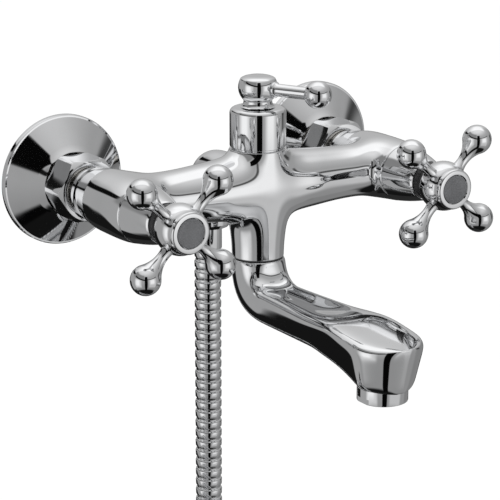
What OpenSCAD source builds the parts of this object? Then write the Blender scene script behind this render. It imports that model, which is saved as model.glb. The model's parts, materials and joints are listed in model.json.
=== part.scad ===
// Wall-mounted bath mixer with two cross handles, a lever diverter, a swivel spout
// and a metal shower hose. Units are millimetres.
// +X points right as one faces the mixer, +Y into the wall and +Z up.
// The origin is on the wall plane, midway between the two water inlets.

/* [Body casting] */
// Distance between the hot and cold inlet axes
inlet_pitch = 150; // [146:1:156]
// Distance from the wall to the axis of the upright column
column_standoff = 63.5; // [61:0.5:66]
// Radius of the upright column under the diverter
column_top_r = 14; // [13.6:0.1:14.4]
// Radius of the upright column at the spout joint
column_foot_r = 12.8; // [12.4:0.1:13.2]
// Height of the column's top face above the body axis
column_rise = 18.8; // [18:0.2:20]
// Depth of the column's foot below the body axis
column_drop = 35.6; // [34.5:0.5:38]
// Radius of the side arms where they leave the column
arm_root_r = 15; // [14.6:0.1:15.4]
// Radius of the side arms at their waist
arm_waist_r = 13.3; // [12.8:0.1:13.6]
// Radius of the fillet between the arms and the bonnet seat
shoulder_fillet_r = 30; // [26:1:34]
// Radius of the fillet between the arms and the spout column
crotch_fillet_r = 10; // [7:0.5:12]
// Radius of the fillet between the arms and the valve horns, on the wall's side
horn_fillet_r = 8; // [6:0.5:10]
// Radius of the fillet between the arms and the valve horns, on the front side
front_fillet_r = 5; // [3:0.5:5]
// Radius of the water passages through the body
passage_r = 5.5; // [4.5:0.1:5.8]

/* [Valve horns] */
// Distance from the wall to the rear collar of each horn
horn_back = 33.5; // [33.2:0.1:34.5]
// Distance from the wall to the front face of each horn
horn_front = 82.5; // [81:0.5:85]
// Radius of the collar at the rear of each horn
horn_collar_r = 12.8; // [12.5:0.1:13.2]
// Largest radius of each horn
horn_belly_r = 15.5; // [15.3:0.1:16]
// Radius of each horn at its front face
horn_front_r = 14.2; // [14:0.1:14.6]
// Distance from the wall to the valve seat inside each horn
valve_seat = 62; // [61:0.5:63]
// Radius of the valve chamber round the headwork
valve_chamber_r = 11.2; // [11:0.1:11.4]

/* [Inlet unions] */
// Radius of the G1/2 wall thread
wall_thread_r = 10.48; // [10.3:0.01:10.6]
// Length of the wall thread behind the wall plane
wall_thread_len = 14; // [10:1:20]
// Radius of the G3/4 thread that takes the union nut
union_thread_r = 13.22; // [13.1:0.01:13.3]
// Offset of the wall thread below the union thread
union_offset = 3; // [0:0.5:4]
// Distance from the wall to the sealing face of the union
union_face = 24; // [23.5:0.1:24.5]
// Radius of the hole through the union
union_bore_r = 7; // [6:0.1:7.5]
// Thickness of the fibre washer in the union
union_washer_t = 2; // [1.5:0.1:2.4]

/* [Wall flanges] */
// Radius of the wall flange
flange_r = 32.6; // [30:0.1:35]
// Height of the flange's cylindrical rim
flange_rim = 4.2; // [3:0.1:5]
// Depth of the flange from the wall to its inner lip
flange_depth = 13.2; // [12.5:0.1:14]
// Wall of the pressed flange
flange_wall = 1.1; // [0.8:0.1:1.5]
// Radius of the flange's inner lip
flange_lip_r = 16.6; // [16:0.1:17.5]

/* [Union nuts] */
// Size across the flats of the union nut
union_nut_flats = 30; // [29:0.5:32]
// Distance from the wall to the back of the union nut
union_nut_back = 15.4; // [14.6:0.1:16]
// Length of the union nut's lip that pulls on the tailpiece
union_nut_lip = 2.5; // [2:0.1:2.6]

/* [Headworks and sleeves] */
// Size across the flats of the headwork's hexagon
headwork_flats = 20; // [19:0.5:20.5]
// Thickness of the headwork's hexagon
headwork_hex_t = 5.5; // [5:0.5:6]
// Radius of the headwork's neck
headwork_neck_r = 7.6; // [7.2:0.1:7.8]
// Radius of the ceramic discs
disc_r = 7.1; // [6.8:0.1:7.2]
// Thickness of each ceramic disc
disc_t = 2.4; // [2:0.1:2.6]
// Radius of the spindle
spindle_r = 4; // [3.6:0.05:4.2]
// Distance from the wall to the front edge of the sleeve
sleeve_front = 102; // [100:0.5:104]
// Radius of the sleeve's front edge
sleeve_front_r = 10; // [9.6:0.1:10.4]
// Outside radius of the dark guide ring behind the handle
guide_ring_r = 9.3; // [9:0.1:9.5]

/* [Cross handles] */
// Distance from the wall to the plane of the handle's balls
handle_plane = 116; // [115:0.5:118]
// Distance from the handle's axis to the centre of each ball
ball_orbit = 28.3; // [26:0.1:30]
// Radius of the balls at the ends of the handle's arms
ball_r = 7.2; // [6.5:0.1:7.6]
// Radius of the handle's arms at their waist
handle_waist_r = 2.6; // [2.3:0.1:3]
// Distance from the handle's axis to the arm's waist
handle_waist_at = 15; // [14:0.1:16]
// Largest radius of the hub
hub_r = 12.2; // [12:0.1:12.8]
// Radius of the ring round the index cap
hub_ring_r = 10; // [9.6:0.1:10.3]
// Radius of the index cap
cap_r = 7.1; // [6.6:0.1:7.4]
// Turn of the left handle's arms away from the diagonal
left_handle_turn = 1.8; // [0:0.1:5]
// Turn of the right handle's arms away from the diagonal
right_handle_turn = 3.4; // [0:0.1:5]

/* [Diverter] */
// Radius of the diverter's bonnet
bonnet_r = 13.8; // [13.6:0.1:14]
// Height of the diverter's bonnet
bonnet_h = 20; // [19:0.1:20.2]
// Radius of the diverter's cartridge thread
cartridge_r = 10.42; // [10.2:0.02:10.5]
// Radius of the diverter's stem
stem_r = 4; // [3.6:0.05:4.1]
// Radius of the knob on the diverter's stem
knob_r = 9.6; // [9:0.1:10]
// Height of the knob's centre above the body axis
knob_centre = 48.2; // [48:0.1:49]
// Distance from the diverter's axis to the centre of the lever's ball
lever_reach = 33; // [30:0.5:36]
// Radius of the lever's rod
lever_rod_r = 3.1; // [2.8:0.1:3.3]
// Radius of the lever's ball
lever_ball_r = 6.7; // [6:0.1:7]
// Slope of the lever below the horizontal
lever_droop = 0; // [0:0.5:8]
// Direction of the lever, in degrees to the right of straight forward
lever_heading = 27; // [0:1:90]

/* [Spout] */
// Distance from the column's axis to the aerator's axis
spout_reach = 105.5; // [100:0.5:130]
// Radius of the spout's neck under the column
neck_r = 13.1; // [12.9:0.1:13.4]
// Depth of the spout's raised rims below the body axis
spout_top = 48.8; // [48.6:0.1:50]
// Depth of the spout's underside below the body axis
spout_under = 66.3; // [66:0.1:69]
// Depth of the top of the spout's end below the body axis
spout_end_top = 51.2; // [50.6:0.1:53]
// Depth of the underside of the spout's end below the body axis
spout_end_under = 73.2; // [73:0.1:75]
// Radius of the spout's end at its top edge
spout_end_r = 19.6; // [19:0.1:20.5]
// Radius of the spout's end at its underside
spout_outlet_r = 14.2; // [14:0.1:15]
// Depth of the hollow in the top of the spout
spout_dish = 2.4; // [0:0.1:2.6]
// Radius of the inner bend under the column
spout_bend_r = 8.5; // [7.5:0.1:9]
// Radius of the spigot that turns in the column
spigot_r = 9; // [8.6:0.1:9.2]
// Length of the spigot above the spout
spigot_len = 19.5; // [18:0.5:19.5]

/* [Aerator] */
// Radius of the aerator's visible collar
aerator_r = 11.9; // [11.6:0.1:12.2]
// Height of the aerator's visible collar
aerator_h = 6.4; // [5.8:0.1:7]
// Radius of the aerator's thread
aerator_thread_r = 11; // [10.8:0.1:11.2]
// Length of the aerator's thread
aerator_thread_len = 8; // [7:0.5:8.5]

/* [Shower outlet] */
// Radius of the rear branch that feeds the shower hose
branch_r = 9.5; // [9.2:0.1:10]
// Distance from the wall to the axis of the shower hose
hose_standoff = 16.5; // [15.5:0.5:18]
// Radius of the G1/2 outlet thread
outlet_thread_r = 10.48; // [10.3:0.01:10.5]
// Depth of the end of the outlet thread below the body axis
outlet_face = 26; // [25.5:0.5:26.5]
// Size across the flats of the hose nut
hose_nut_flats = 24; // [23.5:0.5:26]

/* [Shower hose] */
// Radius of the ribbed hose over its ribs
hose_r = 6.9; // [6.5:0.1:7]
// Radius of the hole through the hose
hose_bore_r = 4.4; // [4:0.1:5]
// Distance between the hose's ribs
rib_pitch = 5.4; // [4.5:0.1:6.5]
// Depth of the grooves between the ribs
rib_depth = 0.8; // [0.4:0.1:1]
// Radius of the smooth ferrules at the ends of the hose
ferrule_r = 7.3; // [7.2:0.1:7.4]
// Number of turns in the stored coil
coil_turns = 2.5; // [2.5, 3.5]
// Distance between neighbouring turns of the coil
coil_step = 15; // [14.6:0.1:18]

/* [Hidden] */
$fn = 64;

// Running, sliding and seating clearances
running_fit = 0.05;
thread_fit = 0.06;
loose_fit = 0.3;
face_gap = 0.1;

// Inlet stack, as distances from the wall
left_x = -inlet_pitch / 2;
right_x = inlet_pitch / 2;
tail_flange_back = union_face + union_washer_t;
tail_flange_front = union_nut_back + 12.6;
union_nut_front = tail_flange_front + union_nut_lip;
tail_flange_r = union_thread_r - 0.3;
tail_neck_r = 11.8;
tail_thread_r = 9.5;
tail_thread_end = horn_back + 10.5;
flange_hub_back = 7;
union_shoulder = 5;

// Valve stack, as distances from the wall
seal_t = 2.2;
cage_r = 8.6;
cage_back = valve_seat + seal_t;
headwork_thread_r = 10.42;
headwork_thread_back = valve_seat + 13.5;
cage_inside_r = disc_r + 0.2;
moving_disc_back = cage_back + disc_t + face_gap;
spindle_foot_back = moving_disc_back + disc_t;
spindle_foot_front = headwork_thread_back - 0.2;
hex_front = horn_front + headwork_hex_t;
neck_front = sleeve_front + 2;
guide_ring_front = handle_plane - 4;
hub_back = handle_plane - 6;
hub_shoulder = handle_plane + 5;
hub_front = handle_plane + 8.2;
cap_seat = hub_front - 1.2;
spindle_front = handle_plane + 2;
screw_seat = spindle_front + 1.5;

// Diverter stack, as heights above the body axis
diverter_floor = -8;
cartridge_hex_top = column_rise + 5;
cartridge_neck_top = column_rise + bonnet_h - 1;
bonnet_top = column_rise + bonnet_h;
plug_floor = diverter_floor + 0.5;
plug_top = 11;
knob_foot = bonnet_top + loose_fit;

// Spout joint and duct
slip_ring_t = 0.6;
spout_joint = -column_drop - slip_ring_t - face_gap;
outlet_y = -column_standoff - spout_reach;
bend_y = -column_standoff - neck_r - spout_bend_r;
bend_z = -spout_top + spout_bend_r;
spigot_top = spout_joint + spigot_len;
screw_level = -column_drop + 10;
duct_r = 5;
duct_level = -(spout_top + spout_under) / 2 - 0.8;
aerator_floor = -spout_end_under - aerator_h;

// Shower outlet, as heights above the body axis
branch_level = 1;
outlet_collar = -12.5;
outlet_washer_t = 2;
ferrule_flange_t = 1.5;
ferrule_flange_top = -outlet_face - outlet_washer_t;
hose_nut_floor = ferrule_flange_top - ferrule_flange_t - 1.5;
ferrule_foot = -43;

// Hose route. The hose hangs straight down from the ferrule, then lies in a tied coil
// parallel to the wall, which starts at the level of the coil's centre.
hose_top = [0, -hose_standoff, ferrule_foot];
coil_lead = 24;
coil_r = 77;
coil_centre_z = -262;
coil_entry = [0, -hose_standoff, coil_centre_z + coil_lead];
coil_rings_per_turn = 24;
rib_count = round((hose_top[2] - coil_entry[2]) / rib_pitch);
rib_step = (hose_top[2] - coil_entry[2]) / rib_count;
coil_end = [-2 * coil_r, -hose_standoff - coil_turns * coil_step, coil_centre_z + coil_lead];
end_ferrule_len = 13;
end_nut_len = 26;

// Helper functions

function mix(a, b, t) = a + (b - a) * t;
function ease(t) = t * t * (3 - 2 * t);
function share(v, a, b) = min(1, max(0, (v - a) / (b - a)));
function unit(v) = v / norm(v);

// Centre and radius of the circle through three points
function circle_through(a, b, c) =
    let (d = 2 * (a[0] * (b[1] - c[1]) + b[0] * (c[1] - a[1]) + c[0] * (a[1] - b[1])))
    let (aa = a * a)
    let (bb = b * b)
    let (cc = c * c)
    let (x = (aa * (b[1] - c[1]) + bb * (c[1] - a[1]) + cc * (a[1] - b[1])) / d)
    let (y = (aa * (c[0] - b[0]) + bb * (a[0] - c[0]) + cc * (b[0] - a[0])) / d)
    [x, y, norm([a[0] - x, a[1] - y])];

// Profiles are written as [radius, height] points, for solids turned about the local Z axis.

// Places children at an inlet axis, with local Z pointing away from the wall
module from_wall(x, z = 0) {
    translate([x, 0, z])
        rotate([90, 0, 0])
            children();
}

// A solid turned from [radius, height] points
module turned(points) {
    rotate_extrude()
        polygon(points);
}

// A ring with square edges between two heights
module ring(outer_r, inner_r, low, high) {
    difference() {
        translate([0, 0, low])
            cylinder(r = outer_r, h = high - low);
        translate([0, 0, low - 1])
            cylinder(r = inner_r, h = high - low + 2);
    }
}

// A plain round bar between two heights
module cylinder_between(r, low, high) {
    translate([0, 0, low])
        cylinder(r = r, h = high - low);
}

// A round bar with its top edge rounded
module rounded_top(r, low, high, edge_r) {
    rotate_extrude()
        intersection() {
            union() {
                translate([r - edge_r, high - edge_r])
                    circle(r = edge_r);
                translate([0, low])
                    square([r, high - edge_r - low]);
                translate([0, low])
                    square([r - edge_r, high - low]);
            }
            translate([0, low])
                square([r + 1, high - low]);
        }
}

// A turned solid with a bulging side through three [radius, height] points
module barrel(low, middle, high) {
    arc = circle_through(low, middle, high);
    rotate_extrude()
        intersection() {
            translate([arc[0], arc[1]])
                circle(r = arc[2], $fn = 180);
            translate([0, low[1]])
                square([2 * max(low[0], middle[0], high[0]), high[1] - low[1]]);
        }
}

// A turned solid with a hollow side through three [radius, height] points
module waisted(low, middle, high) {
    arc = circle_through(low, middle, high);
    rotate_extrude()
        difference() {
            translate([0, low[1]])
                square([max(low[0], high[0]), high[1] - low[1]]);
            translate([arc[0], arc[1]])
                circle(r = arc[2], $fn = 180);
        }
}

// A hexagonal bar with its corners turned off
module hexagon(flats, low, high, corner_r) {
    intersection() {
        translate([0, 0, low])
            cylinder(d = flats / cos(30), h = high - low, $fn = 6);
        turned([
            [0, low], [corner_r - 1, low], [corner_r, low + 0.7],
            [corner_r, high - 1.6], [corner_r - 2, high], [0, high]
        ]);
    }
}

// Part of a bent tube that fills the corner between two crossing tubes
module corner_fillet(tube_r, fillet_r, sweep) {
    rotate_extrude(angle = sweep)
        translate([tube_r + fillet_r, 0])
            circle(r = tube_r);
}

// A round O-ring about the local Z axis
module o_ring(orbit_r, wire_r, level) {
    translate([0, 0, level])
        rotate_extrude()
            translate([orbit_r, 0])
                circle(r = wire_r);
}

// Body casting

arm_waist_at = inlet_pitch / 3;
hub_half = inlet_pitch / 4;
hub_steps = 26;
hub_sides = 40;
hub_sunk = 0.25;
hub_edge_r = arm_root_r - 0.15;
shoulder_rise = column_rise - hub_edge_r - 0.4;
shoulder_run = sqrt(pow(shoulder_fillet_r, 2) - pow(shoulder_fillet_r - shoulder_rise, 2));

module column() {
    turned([
        [0, -column_drop], [column_foot_r, -column_drop], [column_foot_r + 0.7, -22],
        [column_top_r, 0], [column_top_r, column_rise], [0, column_rise]
    ]);
}

module arm() {
    rotate([0, 90, 0]) {
        cylinder(r1 = arm_root_r + 0.5, r2 = arm_waist_r, h = arm_waist_at);
        translate([0, 0, arm_waist_at])
            cylinder(r = arm_waist_r, h = inlet_pitch / 2 - 4 - arm_waist_at);
    }
}

// Radius of an arm at a distance from the column's axis
function arm_r(x) = arm_root_r + 0.5 - (arm_root_r + 0.5 - arm_waist_r) * share(x, 0, arm_waist_at);

// Height of the hub's outline at a distance from the column's axis, with a hollow fillet that ends at reach
function hub_outline(x, edge_r, reach, fillet_r, run) =
    x < reach
        ? edge_r + fillet_r - sqrt(pow(fillet_r, 2) - pow(min(reach - x, run), 2))
        : edge_r - (edge_r - arm_r(hub_half) + hub_sunk) * share(x, reach, hub_half);

function hub_top(x) =
    hub_outline(x, hub_edge_r, column_top_r + shoulder_run, shoulder_fillet_r, shoulder_run);

function hub_under(x) =
    hub_outline(x, hub_edge_r, column_foot_r + 0.3 + crotch_fillet_r, crotch_fillet_r, crotch_fillet_r - 0.2);

function hub_side(x) =
    hub_edge_r - (hub_edge_r - arm_r(hub_half) + hub_sunk) * share(x, column_top_r, hub_half);

function hub_ring(i) =
    let (x = hub_half * (2 * i / hub_steps - 1))
    [
        for (k = [0:hub_sides - 1])
            let (angle = 360 * k / hub_sides)
            let (rise = sin(angle))
            [x, hub_side(abs(x)) * cos(angle), rise * (rise > 0 ? hub_top(abs(x)) : hub_under(abs(x)))]
    ];

// The rounded middle of the casting, where the arms sweep up to the bonnet and down to the spout
module hub() {
    rings = [for (i = [0:hub_steps]) hub_ring(i)];
    count = len(rings);
    last = (count - 1) * hub_sides;
    first_centre = count * hub_sides;
    start_cap = [for (k = [0:hub_sides - 1]) [first_centre, (k + 1) % hub_sides, k]];
    end_cap = [for (k = [0:hub_sides - 1]) [first_centre + 1, last + k, last + (k + 1) % hub_sides]];
    polyhedron(
        points = concat([for (r = rings) each r], [[-hub_half, 0, 0], [hub_half, 0, 0]]),
        faces = flipped(concat(tube_faces(count, hub_sides), start_cap, end_cap)),
        convexity = 4
    );
}

module horn_fillets() {
    tube = arm_waist_r - 1.2;
    for (front = [0, 1])
        let (fillet_r = front == 1 ? front_fillet_r : horn_fillet_r)
            mirror([0, 1 - front, 0])
                translate([inlet_pitch / 2 - arm_waist_r - fillet_r, -arm_waist_r - fillet_r + 0.6, 0])
                    corner_fillet(tube, fillet_r, 90);
}

module horn() {
    union() {
        ring(horn_collar_r, union_bore_r, horn_back, horn_back + 4);
        barrel([horn_collar_r - 0.4, horn_back + 3], [horn_belly_r, 60], [horn_front_r, horn_front]);
    }
}

module shower_branch() {
    translate([0, 0, branch_level]) {
        rotate([-90, 0, 0])
            cylinder(r = branch_r, h = column_standoff - hose_standoff);
        translate([0, column_standoff - hose_standoff, 0]) {
            sphere(r = branch_r + 0.3);
            translate([0, 0, outlet_collar - branch_level])
                cylinder(r = branch_r, h = branch_level - outlet_collar);
        }
    }
    translate([0, column_standoff - hose_standoff, outlet_collar])
        cylinder(r = branch_r + 2, h = 4);
}

module body_solid() {
    translate([0, -column_standoff, 0]) {
        column();
        hub();
        shower_branch();
        for (side = [0, 1])
            mirror([side, 0, 0]) {
                arm();
                horn_fillets();
            }
    }
    for (x = [left_x, right_x])
        from_wall(x)
            horn();
}

module horn_bores() {
    inlet_end = tail_thread_end + 1;
    translate([0, 0, horn_back - 1])
        cylinder(r = tail_thread_r + thread_fit, h = inlet_end - horn_back + 1);
    translate([0, 0, horn_back - 1])
        cylinder(r = union_bore_r - 0.5, h = valve_seat - horn_back + 2);
    translate([0, 0, valve_seat])
        cylinder(r = valve_chamber_r, h = headwork_thread_back - valve_seat);
    translate([0, 0, valve_seat])
        cylinder(r = headwork_thread_r + thread_fit, h = horn_front - valve_seat + 1);
}

module column_bores() {
    translate([0, 0, diverter_floor])
        cylinder(r = cartridge_r + thread_fit, h = column_rise - diverter_floor + 1);
    translate([0, 0, -column_drop - 1])
        cylinder(r = spigot_r + running_fit, h = spigot_top + column_drop + 1.5);
    translate([0, 0, -column_drop])
        cylinder(r = passage_r, h = column_drop);
    arm_reach = inlet_pitch / 2 - 9;
    translate([-arm_reach, 0, 0])
        rotate([0, 90, 0])
            cylinder(r = passage_r, h = 2 * arm_reach);
    translate([0, 6, branch_level])
        rotate([-90, 0, 0])
            cylinder(r = passage_r, h = column_standoff - hose_standoff);
    translate([0, column_standoff - hose_standoff, outlet_collar - 1])
        cylinder(r = passage_r - 0.4, h = branch_level - outlet_collar + 1);
    translate([0, column_standoff - hose_standoff, outlet_collar - 1])
        cylinder(r = 7.5 + thread_fit, h = 9);
    translate([0, 0, screw_level])
        rotate([-90, 0, 0])
            cylinder(r = 2.5 + thread_fit, h = column_top_r + 1);
}

module body_casting() {
    color("gainsboro")
        difference() {
            body_solid();
            translate([0, -column_standoff, 0])
                column_bores();
            for (x = [left_x, right_x])
                from_wall(x)
                    horn_bores();
        }
}

// Inlets

module eccentric_union(x) {
    color("silver")
        difference() {
            union() {
                from_wall(x, -union_offset)
                    translate([0, 0, -wall_thread_len])
                        cylinder(r = wall_thread_r, h = wall_thread_len);
                from_wall(x, -union_offset / 2)
                    cylinder(r = union_thread_r + union_offset / 2 + 0.8, h = union_shoulder);
                from_wall(x)
                    cylinder(r = union_thread_r, h = union_face);
            }
            from_wall(x, -union_offset)
                translate([0, 0, -wall_thread_len - 1])
                    cylinder(r = union_bore_r, h = wall_thread_len + 4);
            from_wall(x)
                translate([0, 0, 2])
                    cylinder(r = union_bore_r, h = union_face);
        }
}

module wall_flange(x) {
    hub_r = union_thread_r + thread_fit;
    outer_slope = (flange_r - 1.2 - flange_lip_r) / (flange_depth - 0.6 - flange_rim);
    color("gainsboro")
        from_wall(x)
            turned([
                [flange_r - flange_wall, 0], [flange_r, 0],
                [flange_r, flange_rim - 0.8], [flange_r - 0.4, flange_rim - 0.2],
                [flange_r - 1.2, flange_rim],
                [flange_lip_r, flange_depth - 0.6], [flange_lip_r - 0.5, flange_depth],
                [flange_lip_r - 1.3, flange_depth - 0.3],
                [hub_r, flange_depth - 0.8], [hub_r, flange_hub_back],
                [flange_lip_r - 0.6, flange_hub_back],
                [flange_lip_r + 0.4, flange_depth - 2.1],
                [flange_r - 1.2 - flange_wall, flange_rim - 2 + outer_slope * 0.4]
            ]);
}

module union_nut(x) {
    color("gainsboro")
        from_wall(x)
            difference() {
                hexagon(union_nut_flats, union_nut_back, union_nut_front, union_nut_flats * 0.56);
                translate([0, 0, union_nut_back - 1])
                    cylinder(r = union_thread_r + thread_fit, h = tail_flange_front - union_nut_back + 1);
                translate([0, 0, union_nut_back])
                    cylinder(r = tail_neck_r + 0.15, h = union_nut_front);
            }
}

module union_washer(x) {
    color("dimgray")
        from_wall(x)
            ring(tail_flange_r, union_bore_r + 0.4, union_face, tail_flange_back);
}

module inlet_tailpiece(x) {
    color("silver")
        from_wall(x)
            difference() {
                turned([
                    [0, tail_flange_back], [tail_flange_r, tail_flange_back],
                    [tail_flange_r, tail_flange_front], [tail_neck_r, tail_flange_front],
                    [tail_neck_r, horn_back], [tail_thread_r, horn_back],
                    [tail_thread_r, tail_thread_end], [0, tail_thread_end]
                ]);
                translate([0, 0, tail_flange_back - 1])
                    cylinder(r = union_bore_r - 0.5, h = 24);
            }
}

// Valves

module headwork_body(x) {
    color("goldenrod")
        from_wall(x)
            difference() {
                union() {
                    translate([0, 0, cage_back])
                        cylinder(r = cage_r, h = headwork_thread_back - cage_back);
                    translate([0, 0, headwork_thread_back])
                        cylinder(r = headwork_thread_r, h = horn_front - headwork_thread_back);
                    translate([0, 0, horn_front])
                        cylinder(d = headwork_flats / cos(30), h = headwork_hex_t, $fn = 6);
                    translate([0, 0, hex_front])
                        cylinder(r = headwork_neck_r, h = neck_front - hex_front);
                }
                translate([0, 0, cage_back - 1])
                    cylinder(r = cage_inside_r, h = headwork_thread_back - cage_back + 1);
                translate([0, 0, cage_back])
                    cylinder(r = spindle_r + running_fit, h = neck_front);
                translate([-cage_r - 1, 0, moving_disc_back + disc_t / 2])
                    rotate([0, 90, 0])
                        cylinder(r = 2.2, h = 2 * cage_r + 2);
            }
}

module seat_seal(x) {
    color("black")
        from_wall(x)
            ring(cage_r - 0.2, cage_r - 2.2, valve_seat, cage_back);
}

module ported_disc(back, port_angle) {
    difference() {
        translate([0, 0, back])
            cylinder(r = disc_r, h = disc_t);
        for (turn = [0, 180])
            rotate([0, 0, port_angle + turn])
                translate([disc_r * 0.5, 0, back - 1])
                    cylinder(r = 1.9, h = disc_t + 2);
    }
}

module fixed_disc(x) {
    color("white")
        from_wall(x)
            ported_disc(cage_back, 0);
}

module moving_disc(x) {
    color("whitesmoke")
        from_wall(x)
            difference() {
                ported_disc(moving_disc_back, 90);
                translate([-3.2, -1.1, spindle_foot_back - 1.1])
                    cube([6.4, 2.2, 2]);
            }
}

module spindle(x) {
    color("goldenrod")
        from_wall(x)
            difference() {
                union() {
                    translate([-3, -0.9, spindle_foot_back - 1])
                        cube([6, 1.8, 2]);
                    translate([0, 0, spindle_foot_back])
                        cylinder(r = disc_r - 0.1, h = spindle_foot_front - spindle_foot_back);
                    translate([0, 0, spindle_foot_front - 1])
                        cylinder(r = spindle_r, h = spindle_front - spindle_foot_front + 1);
                }
                translate([0, 0, spindle_front - 12])
                    cylinder(r = 2 + thread_fit, h = 13);
            }
}

module valve_sleeve(x) {
    rear = horn_front + 0.2;
    inside_r = headwork_flats / 2 / cos(30) + 0.5;
    color("gainsboro")
        from_wall(x)
            difference() {
                barrel([horn_front_r, rear], [mix(horn_front_r, sleeve_front_r, 0.44), rear + 10],
                    [sleeve_front_r, sleeve_front]);
                translate([0, 0, rear - 1])
                    cylinder(r = inside_r, h = headwork_hex_t + 1.4);
                translate([0, 0, rear])
                    cylinder(r = headwork_neck_r + running_fit, h = sleeve_front);
            }
}

module guide_ring(x) {
    color("black")
        from_wall(x)
            difference() {
                translate([0, 0, sleeve_front + face_gap])
                    cylinder(r = guide_ring_r, h = guide_ring_front - sleeve_front - face_gap);
                translate([0, 0, sleeve_front])
                    cylinder(r = headwork_neck_r + running_fit, h = neck_front - sleeve_front + 0.1);
                translate([0, 0, sleeve_front])
                    cylinder(r = spindle_r + loose_fit, h = 20);
            }
}

// Cross handles

module handle_arm() {
    span = ball_orbit - handle_waist_at;
    fillet = (pow(span, 2) + pow(handle_waist_r, 2) - pow(ball_r, 2)) / (2 * (ball_r - handle_waist_r));
    tangent_at = handle_waist_at + span * fillet / (fillet + ball_r);
    tangent_r = ball_r * (handle_waist_r + fillet) / (fillet + ball_r);
    rotate([0, 90, 0]) {
        rotate_extrude()
            difference() {
                translate([0, hub_r - 3])
                    square([tangent_r, tangent_at - hub_r + 3]);
                translate([handle_waist_r + fillet, handle_waist_at])
                    circle(r = fillet, $fn = 180);
            }
        translate([0, 0, ball_orbit])
            sphere(r = ball_r);
    }
}

module cross_handle(x, turn) {
    color("gainsboro")
        from_wall(x)
            difference() {
                union() {
                    barrel([hub_r - 0.7, hub_back], [hub_r, handle_plane - 1], [hub_r - 1.6, hub_shoulder]);
                    cylinder_between(hub_ring_r - 0.5, hub_shoulder - 1, hub_shoulder + 1);
                    rounded_top(hub_ring_r, hub_shoulder + 0.6, hub_front, 1.1);
                    for (quarter = [0:3])
                        translate([0, 0, handle_plane])
                            rotate([0, 0, turn + 45 + 90 * quarter])
                                handle_arm();
                }
                translate([0, 0, hub_back - 1])
                    cylinder(r = guide_ring_r + 0.6, h = guide_ring_front + 1 - hub_back + 1);
                translate([0, 0, hub_back])
                    cylinder(r = spindle_r + 0.02, h = spindle_front - hub_back);
                translate([0, 0, hub_back])
                    cylinder(r = 2.2, h = hub_front - hub_back);
                translate([0, 0, screw_seat])
                    cylinder(r = 4.2, h = hub_front);
                translate([0, 0, cap_seat])
                    cylinder(r = cap_r + 0.1, h = hub_front);
            }
}

module handle_screw(x) {
    color("silver")
        from_wall(x)
            difference() {
                union() {
                    translate([0, 0, screw_seat])
                        cylinder(r = 3.9, h = 2.2);
                    translate([0, 0, spindle_front - 10])
                        cylinder(r = 2, h = 12);
                }
                for (turn = [0, 90])
                    rotate([0, 0, turn])
                        translate([-2, -0.5, screw_seat + 1])
                            cube([4, 1, 2]);
            }
}

module index_cap(x) {
    color("dimgray")
        from_wall(x) {
            turned([
                [0, cap_seat], [cap_r, cap_seat], [cap_r, hub_front - 0.3],
                [cap_r - 0.4, hub_front + 0.1], [0, hub_front + 0.3]
            ]);
            translate([0, 0, screw_seat + 2.5])
                cylinder(r = 4.1, h = cap_seat - screw_seat - 2.5);
        }
}

// Diverter

module diverter_bonnet() {
    color("gainsboro")
        translate([0, -column_standoff, 0])
            difference() {
                union() {
                    cylinder_between(bonnet_r - 0.7, column_rise, column_rise + 1);
                    rounded_top(bonnet_r, column_rise + 1, bonnet_top, 2.6);
                }
                translate([0, 0, column_rise - 1])
                    cylinder(r = bonnet_r - 1.6, h = cartridge_hex_top - column_rise + 1.3);
                translate([0, 0, column_rise])
                    cylinder(r = 7 + thread_fit, h = bonnet_h - 1.8);
                translate([0, 0, column_rise])
                    cylinder(r = stem_r + 1.3, h = bonnet_h + 1);
            }
}

module diverter_cartridge() {
    color("goldenrod")
        translate([0, -column_standoff, 0])
            difference() {
                union() {
                    translate([0, 0, plug_floor])
                        cylinder(r = cartridge_r, h = column_rise - plug_floor);
                    translate([0, 0, column_rise])
                        cylinder(d = 20.5 / cos(30), h = cartridge_hex_top - column_rise, $fn = 6);
                    translate([0, 0, cartridge_hex_top])
                        cylinder(r = 7, h = cartridge_neck_top - cartridge_hex_top - 1);
                }
                translate([0, 0, plug_floor - 1])
                    cylinder(r = 8, h = plug_top - plug_floor + 1.2);
                translate([0, 0, plug_floor])
                    cylinder(r = stem_r + running_fit, h = 60);
                translate([-12, 0, 0])
                    rotate([0, 90, 0])
                        cylinder(r = passage_r - 0.3, h = 24);
                translate([0, 0, branch_level])
                    rotate([-90, 0, 0])
                        cylinder(r = passage_r - 0.6, h = 12);
                for (level = [13, 16])
                    ring(cartridge_r + 1, cartridge_r - 1.6, level - 1, level + 1);
            }
}

module diverter_o_rings() {
    color("black")
        translate([0, -column_standoff, 0])
            for (level = [13, 16])
                o_ring(cartridge_r - 0.8, 0.78, level);
}

module diverter_stem() {
    color("goldenrod")
        translate([0, -column_standoff, 0])
            difference() {
                union() {
                    translate([0, 0, plug_floor + 0.2])
                        cylinder(r = 7.9, h = plug_top - plug_floor - 0.2);
                    translate([0, 0, plug_top - 1])
                        cylinder(r = stem_r, h = knob_centre - plug_top - 1);
                }
                translate([0, 0, plug_floor - 1])
                    cylinder(r = 4.6, h = 12);
                translate([0, 0, 0])
                    rotate([0, 90, 0])
                        translate([0, 0, -9])
                            cylinder(r = 4.2, h = 18);
            }
}

// Places children on the lever's axis, with local Z along the lever
module on_lever() {
    translate([0, -column_standoff, knob_centre])
        rotate([0, 0, lever_heading - 90])
            rotate([0, 90 + lever_droop, 0])
                children();
}

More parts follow.
